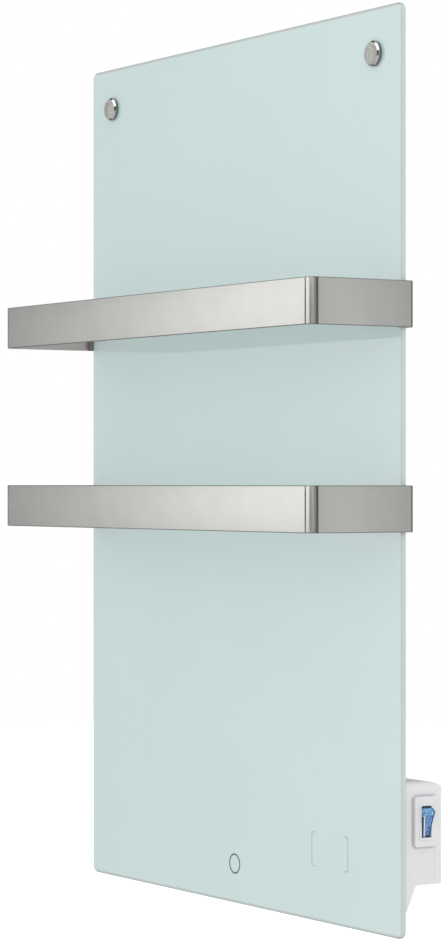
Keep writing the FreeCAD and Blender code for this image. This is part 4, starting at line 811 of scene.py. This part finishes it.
def mirrored_studio(tree):
    """Brightness that metal and glass mirror: cards, flags, and a ceiling and floor in front.

    The cards stand at turn = atan2(front, left). The others cover them where a direction points far enough
    up, down, left or forward.
    """
    direction = add(tree, "ShaderNodeSeparateXYZ", {0: add(tree, "ShaderNodeTexCoord").outputs["Generated"]})
    left = add(tree, "ShaderNodeMath", {0: direction.outputs[0], 1: -1.0}, operation="MULTIPLY")
    front = add(tree, "ShaderNodeMath", {0: direction.outputs[1], 1: -1.0}, operation="MULTIPLY")
    turn = add(tree, "ShaderNodeMath", {0: front.outputs[0], 1: left.outputs[0]}, operation="ARCTAN2")
    share = add(tree, "ShaderNodeMapRange",
                {"Value": turn.outputs[0], "From Min": -math.pi, "From Max": math.pi})
    cards = add(tree, "ShaderNodeValToRGB", {0: share.outputs[0]})
    stops = cards.color_ramp.elements
    for degrees, _ in CARDS[1:-1]:
        stops.new((degrees + 180) / 360)
    for stop, (_, brightness) in zip(stops, CARDS):
        level = brightness / CARD_PEAK
        stop.color = (level, level, level, 1.0)
    upward = add(tree, "ShaderNodeMapRange",
                 {"Value": direction.outputs[2], "From Min": CEILING_RISE[0], "From Max": CEILING_RISE[1]},
                 interpolation_type="SMOOTHSTEP")
    downward = add(tree, "ShaderNodeMapRange",
                   {"Value": direction.outputs[2], "From Min": MIRRORED_FLOOR_FALL[0],
                    "From Max": MIRRORED_FLOOR_FALL[1]}, interpolation_type="SMOOTHSTEP")
    forward = add(tree, "ShaderNodeMapRange",
                  {"Value": front.outputs[0], "From Min": FRONT_START[0], "From Max": FRONT_START[1]},
                  interpolation_type="SMOOTHSTEP")
    rise = add(tree, "ShaderNodeMath", {0: direction.outputs[2]}, operation="ABSOLUTE")
    steep = add(tree, "ShaderNodeMapRange", {"Value": rise.outputs[0], "From Min": FLAG_STEEPNESS[0],
                                             "From Max": FLAG_STEEPNESS[1]})
    sideways = add(tree, "ShaderNodeMapRange", {"Value": left.outputs[0], "From Min": FLAG_SIDE[0],
                                                "From Max": FLAG_SIDE[1]})
    flag = add(tree, "ShaderNodeMath", {0: steep.outputs[0], 1: sideways.outputs[0]}, operation="MULTIPLY")
    flagged = add(tree, "ShaderNodeMix", {0: flag.outputs[0], 2: cards.outputs[0],
                                          3: FLAG_BRIGHTNESS / CARD_PEAK})
    ceiling = add(tree, "ShaderNodeMath", {0: upward.outputs[0], 1: forward.outputs[0]}, operation="MULTIPLY")
    floor = add(tree, "ShaderNodeMath", {0: downward.outputs[0], 1: forward.outputs[0]}, operation="MULTIPLY")
    above = add(tree, "ShaderNodeMix", {0: ceiling.outputs[0], 2: flagged.outputs[0],
                                        3: CEILING_BRIGHTNESS / CARD_PEAK})
    level = add(tree, "ShaderNodeMix", {0: floor.outputs[0], 2: above.outputs[0],
                                        3: MIRRORED_FLOOR_BRIGHTNESS / CARD_PEAK})
    seen = add(tree, "ShaderNodeMath", {0: level.outputs[0], 1: CARD_PEAK}, operation="MULTIPLY")
    return seen.outputs[0]


def studio_world():
    """White surroundings for the eye, cards for metal and glass, and a plain soft light for the rest."""
    world = bpy.data.worlds.new("studio_world")
    bpy.context.scene.world = world
    world.use_nodes = True
    tree = world.node_tree
    tree.nodes.clear()
    path = add(tree, "ShaderNodeLightPath")
    white = add(tree, "ShaderNodeBackground", {"Color": linear("#FFFFFF"), "Strength": 1.0})
    soft = add(tree, "ShaderNodeBackground", {"Color": linear("#FFFFFF"), "Strength": AMBIENT})
    cards = add(tree, "ShaderNodeBackground",
                {"Color": linear("#FFFFFF"), "Strength": mirrored_studio(tree)})
    mirror = add(tree, "ShaderNodeMixShader", {0: path.outputs["Is Glossy Ray"], 1: soft.outputs[0],
                                               2: cards.outputs[0]})
    through = add(tree, "ShaderNodeMath", {0: path.outputs["Is Camera Ray"],
                                           1: path.outputs["Is Transmission Ray"]}, operation="MAXIMUM")
    mixed = add(tree, "ShaderNodeMixShader",
                {0: through.outputs[0], 1: mirror.outputs[0], 2: white.outputs[0]})
    add(tree, "ShaderNodeOutputWorld", {"Surface": mixed.outputs[0]})


def soft_lamp(name, place, size, radiance):
    """Rectangular softbox that looks at the middle of the glass, with its power from a radiance."""
    data = bpy.data.lights.new(name, "AREA")
    data.shape = "RECTANGLE"
    data.size, data.size_y = size
    data.energy = radiance * math.pi * size[0] * size[1]
    lamp = bpy.data.objects.new(name, data)
    lamp.visible_glossy = False
    lamp.location = place
    lamp.rotation_mode = "QUATERNION"
    lamp.rotation_quaternion = (GLASS_MIDDLE - place).to_track_quat("-Z", "Y")
    bpy.context.scene.collection.objects.link(lamp)


bpy.context.scene.view_settings.view_transform = "Standard"
photo_camera()
studio_floor()
studio_world()
soft_lamp("front_left_softbox", SOFTBOX_PLACE, SOFTBOX_SIZE, SOFTBOX_RADIANCE)
soft_lamp("right_softbox", RIGHT_LAMP_PLACE, RIGHT_LAMP_SIZE, RIGHT_LAMP_RADIANCE)

gland_nylon = grey_nylon()
dress_solids(gland_nylon)
ribbed_nut(gland_nylon)
steel = brushed_stainless()
towel_bar("upper", steel)
towel_bar("lower", steel)
cap_finish = cap_steel()
cap("cap_left", cap_finish)
cap("cap_right", cap_finish)
pale_print = fired_print("pale", "#A9BEBB", "#B1C5C2")
bracket_mark("left_bracket_mark", BRACKET_SPAN[0], BRACKET_TICK, pale_print)
bracket_mark("right_bracket_mark", BRACKET_SPAN[1], -BRACKET_TICK, pale_print)
ring_mark(fired_print("grey", "#4B5755", "#566260"))
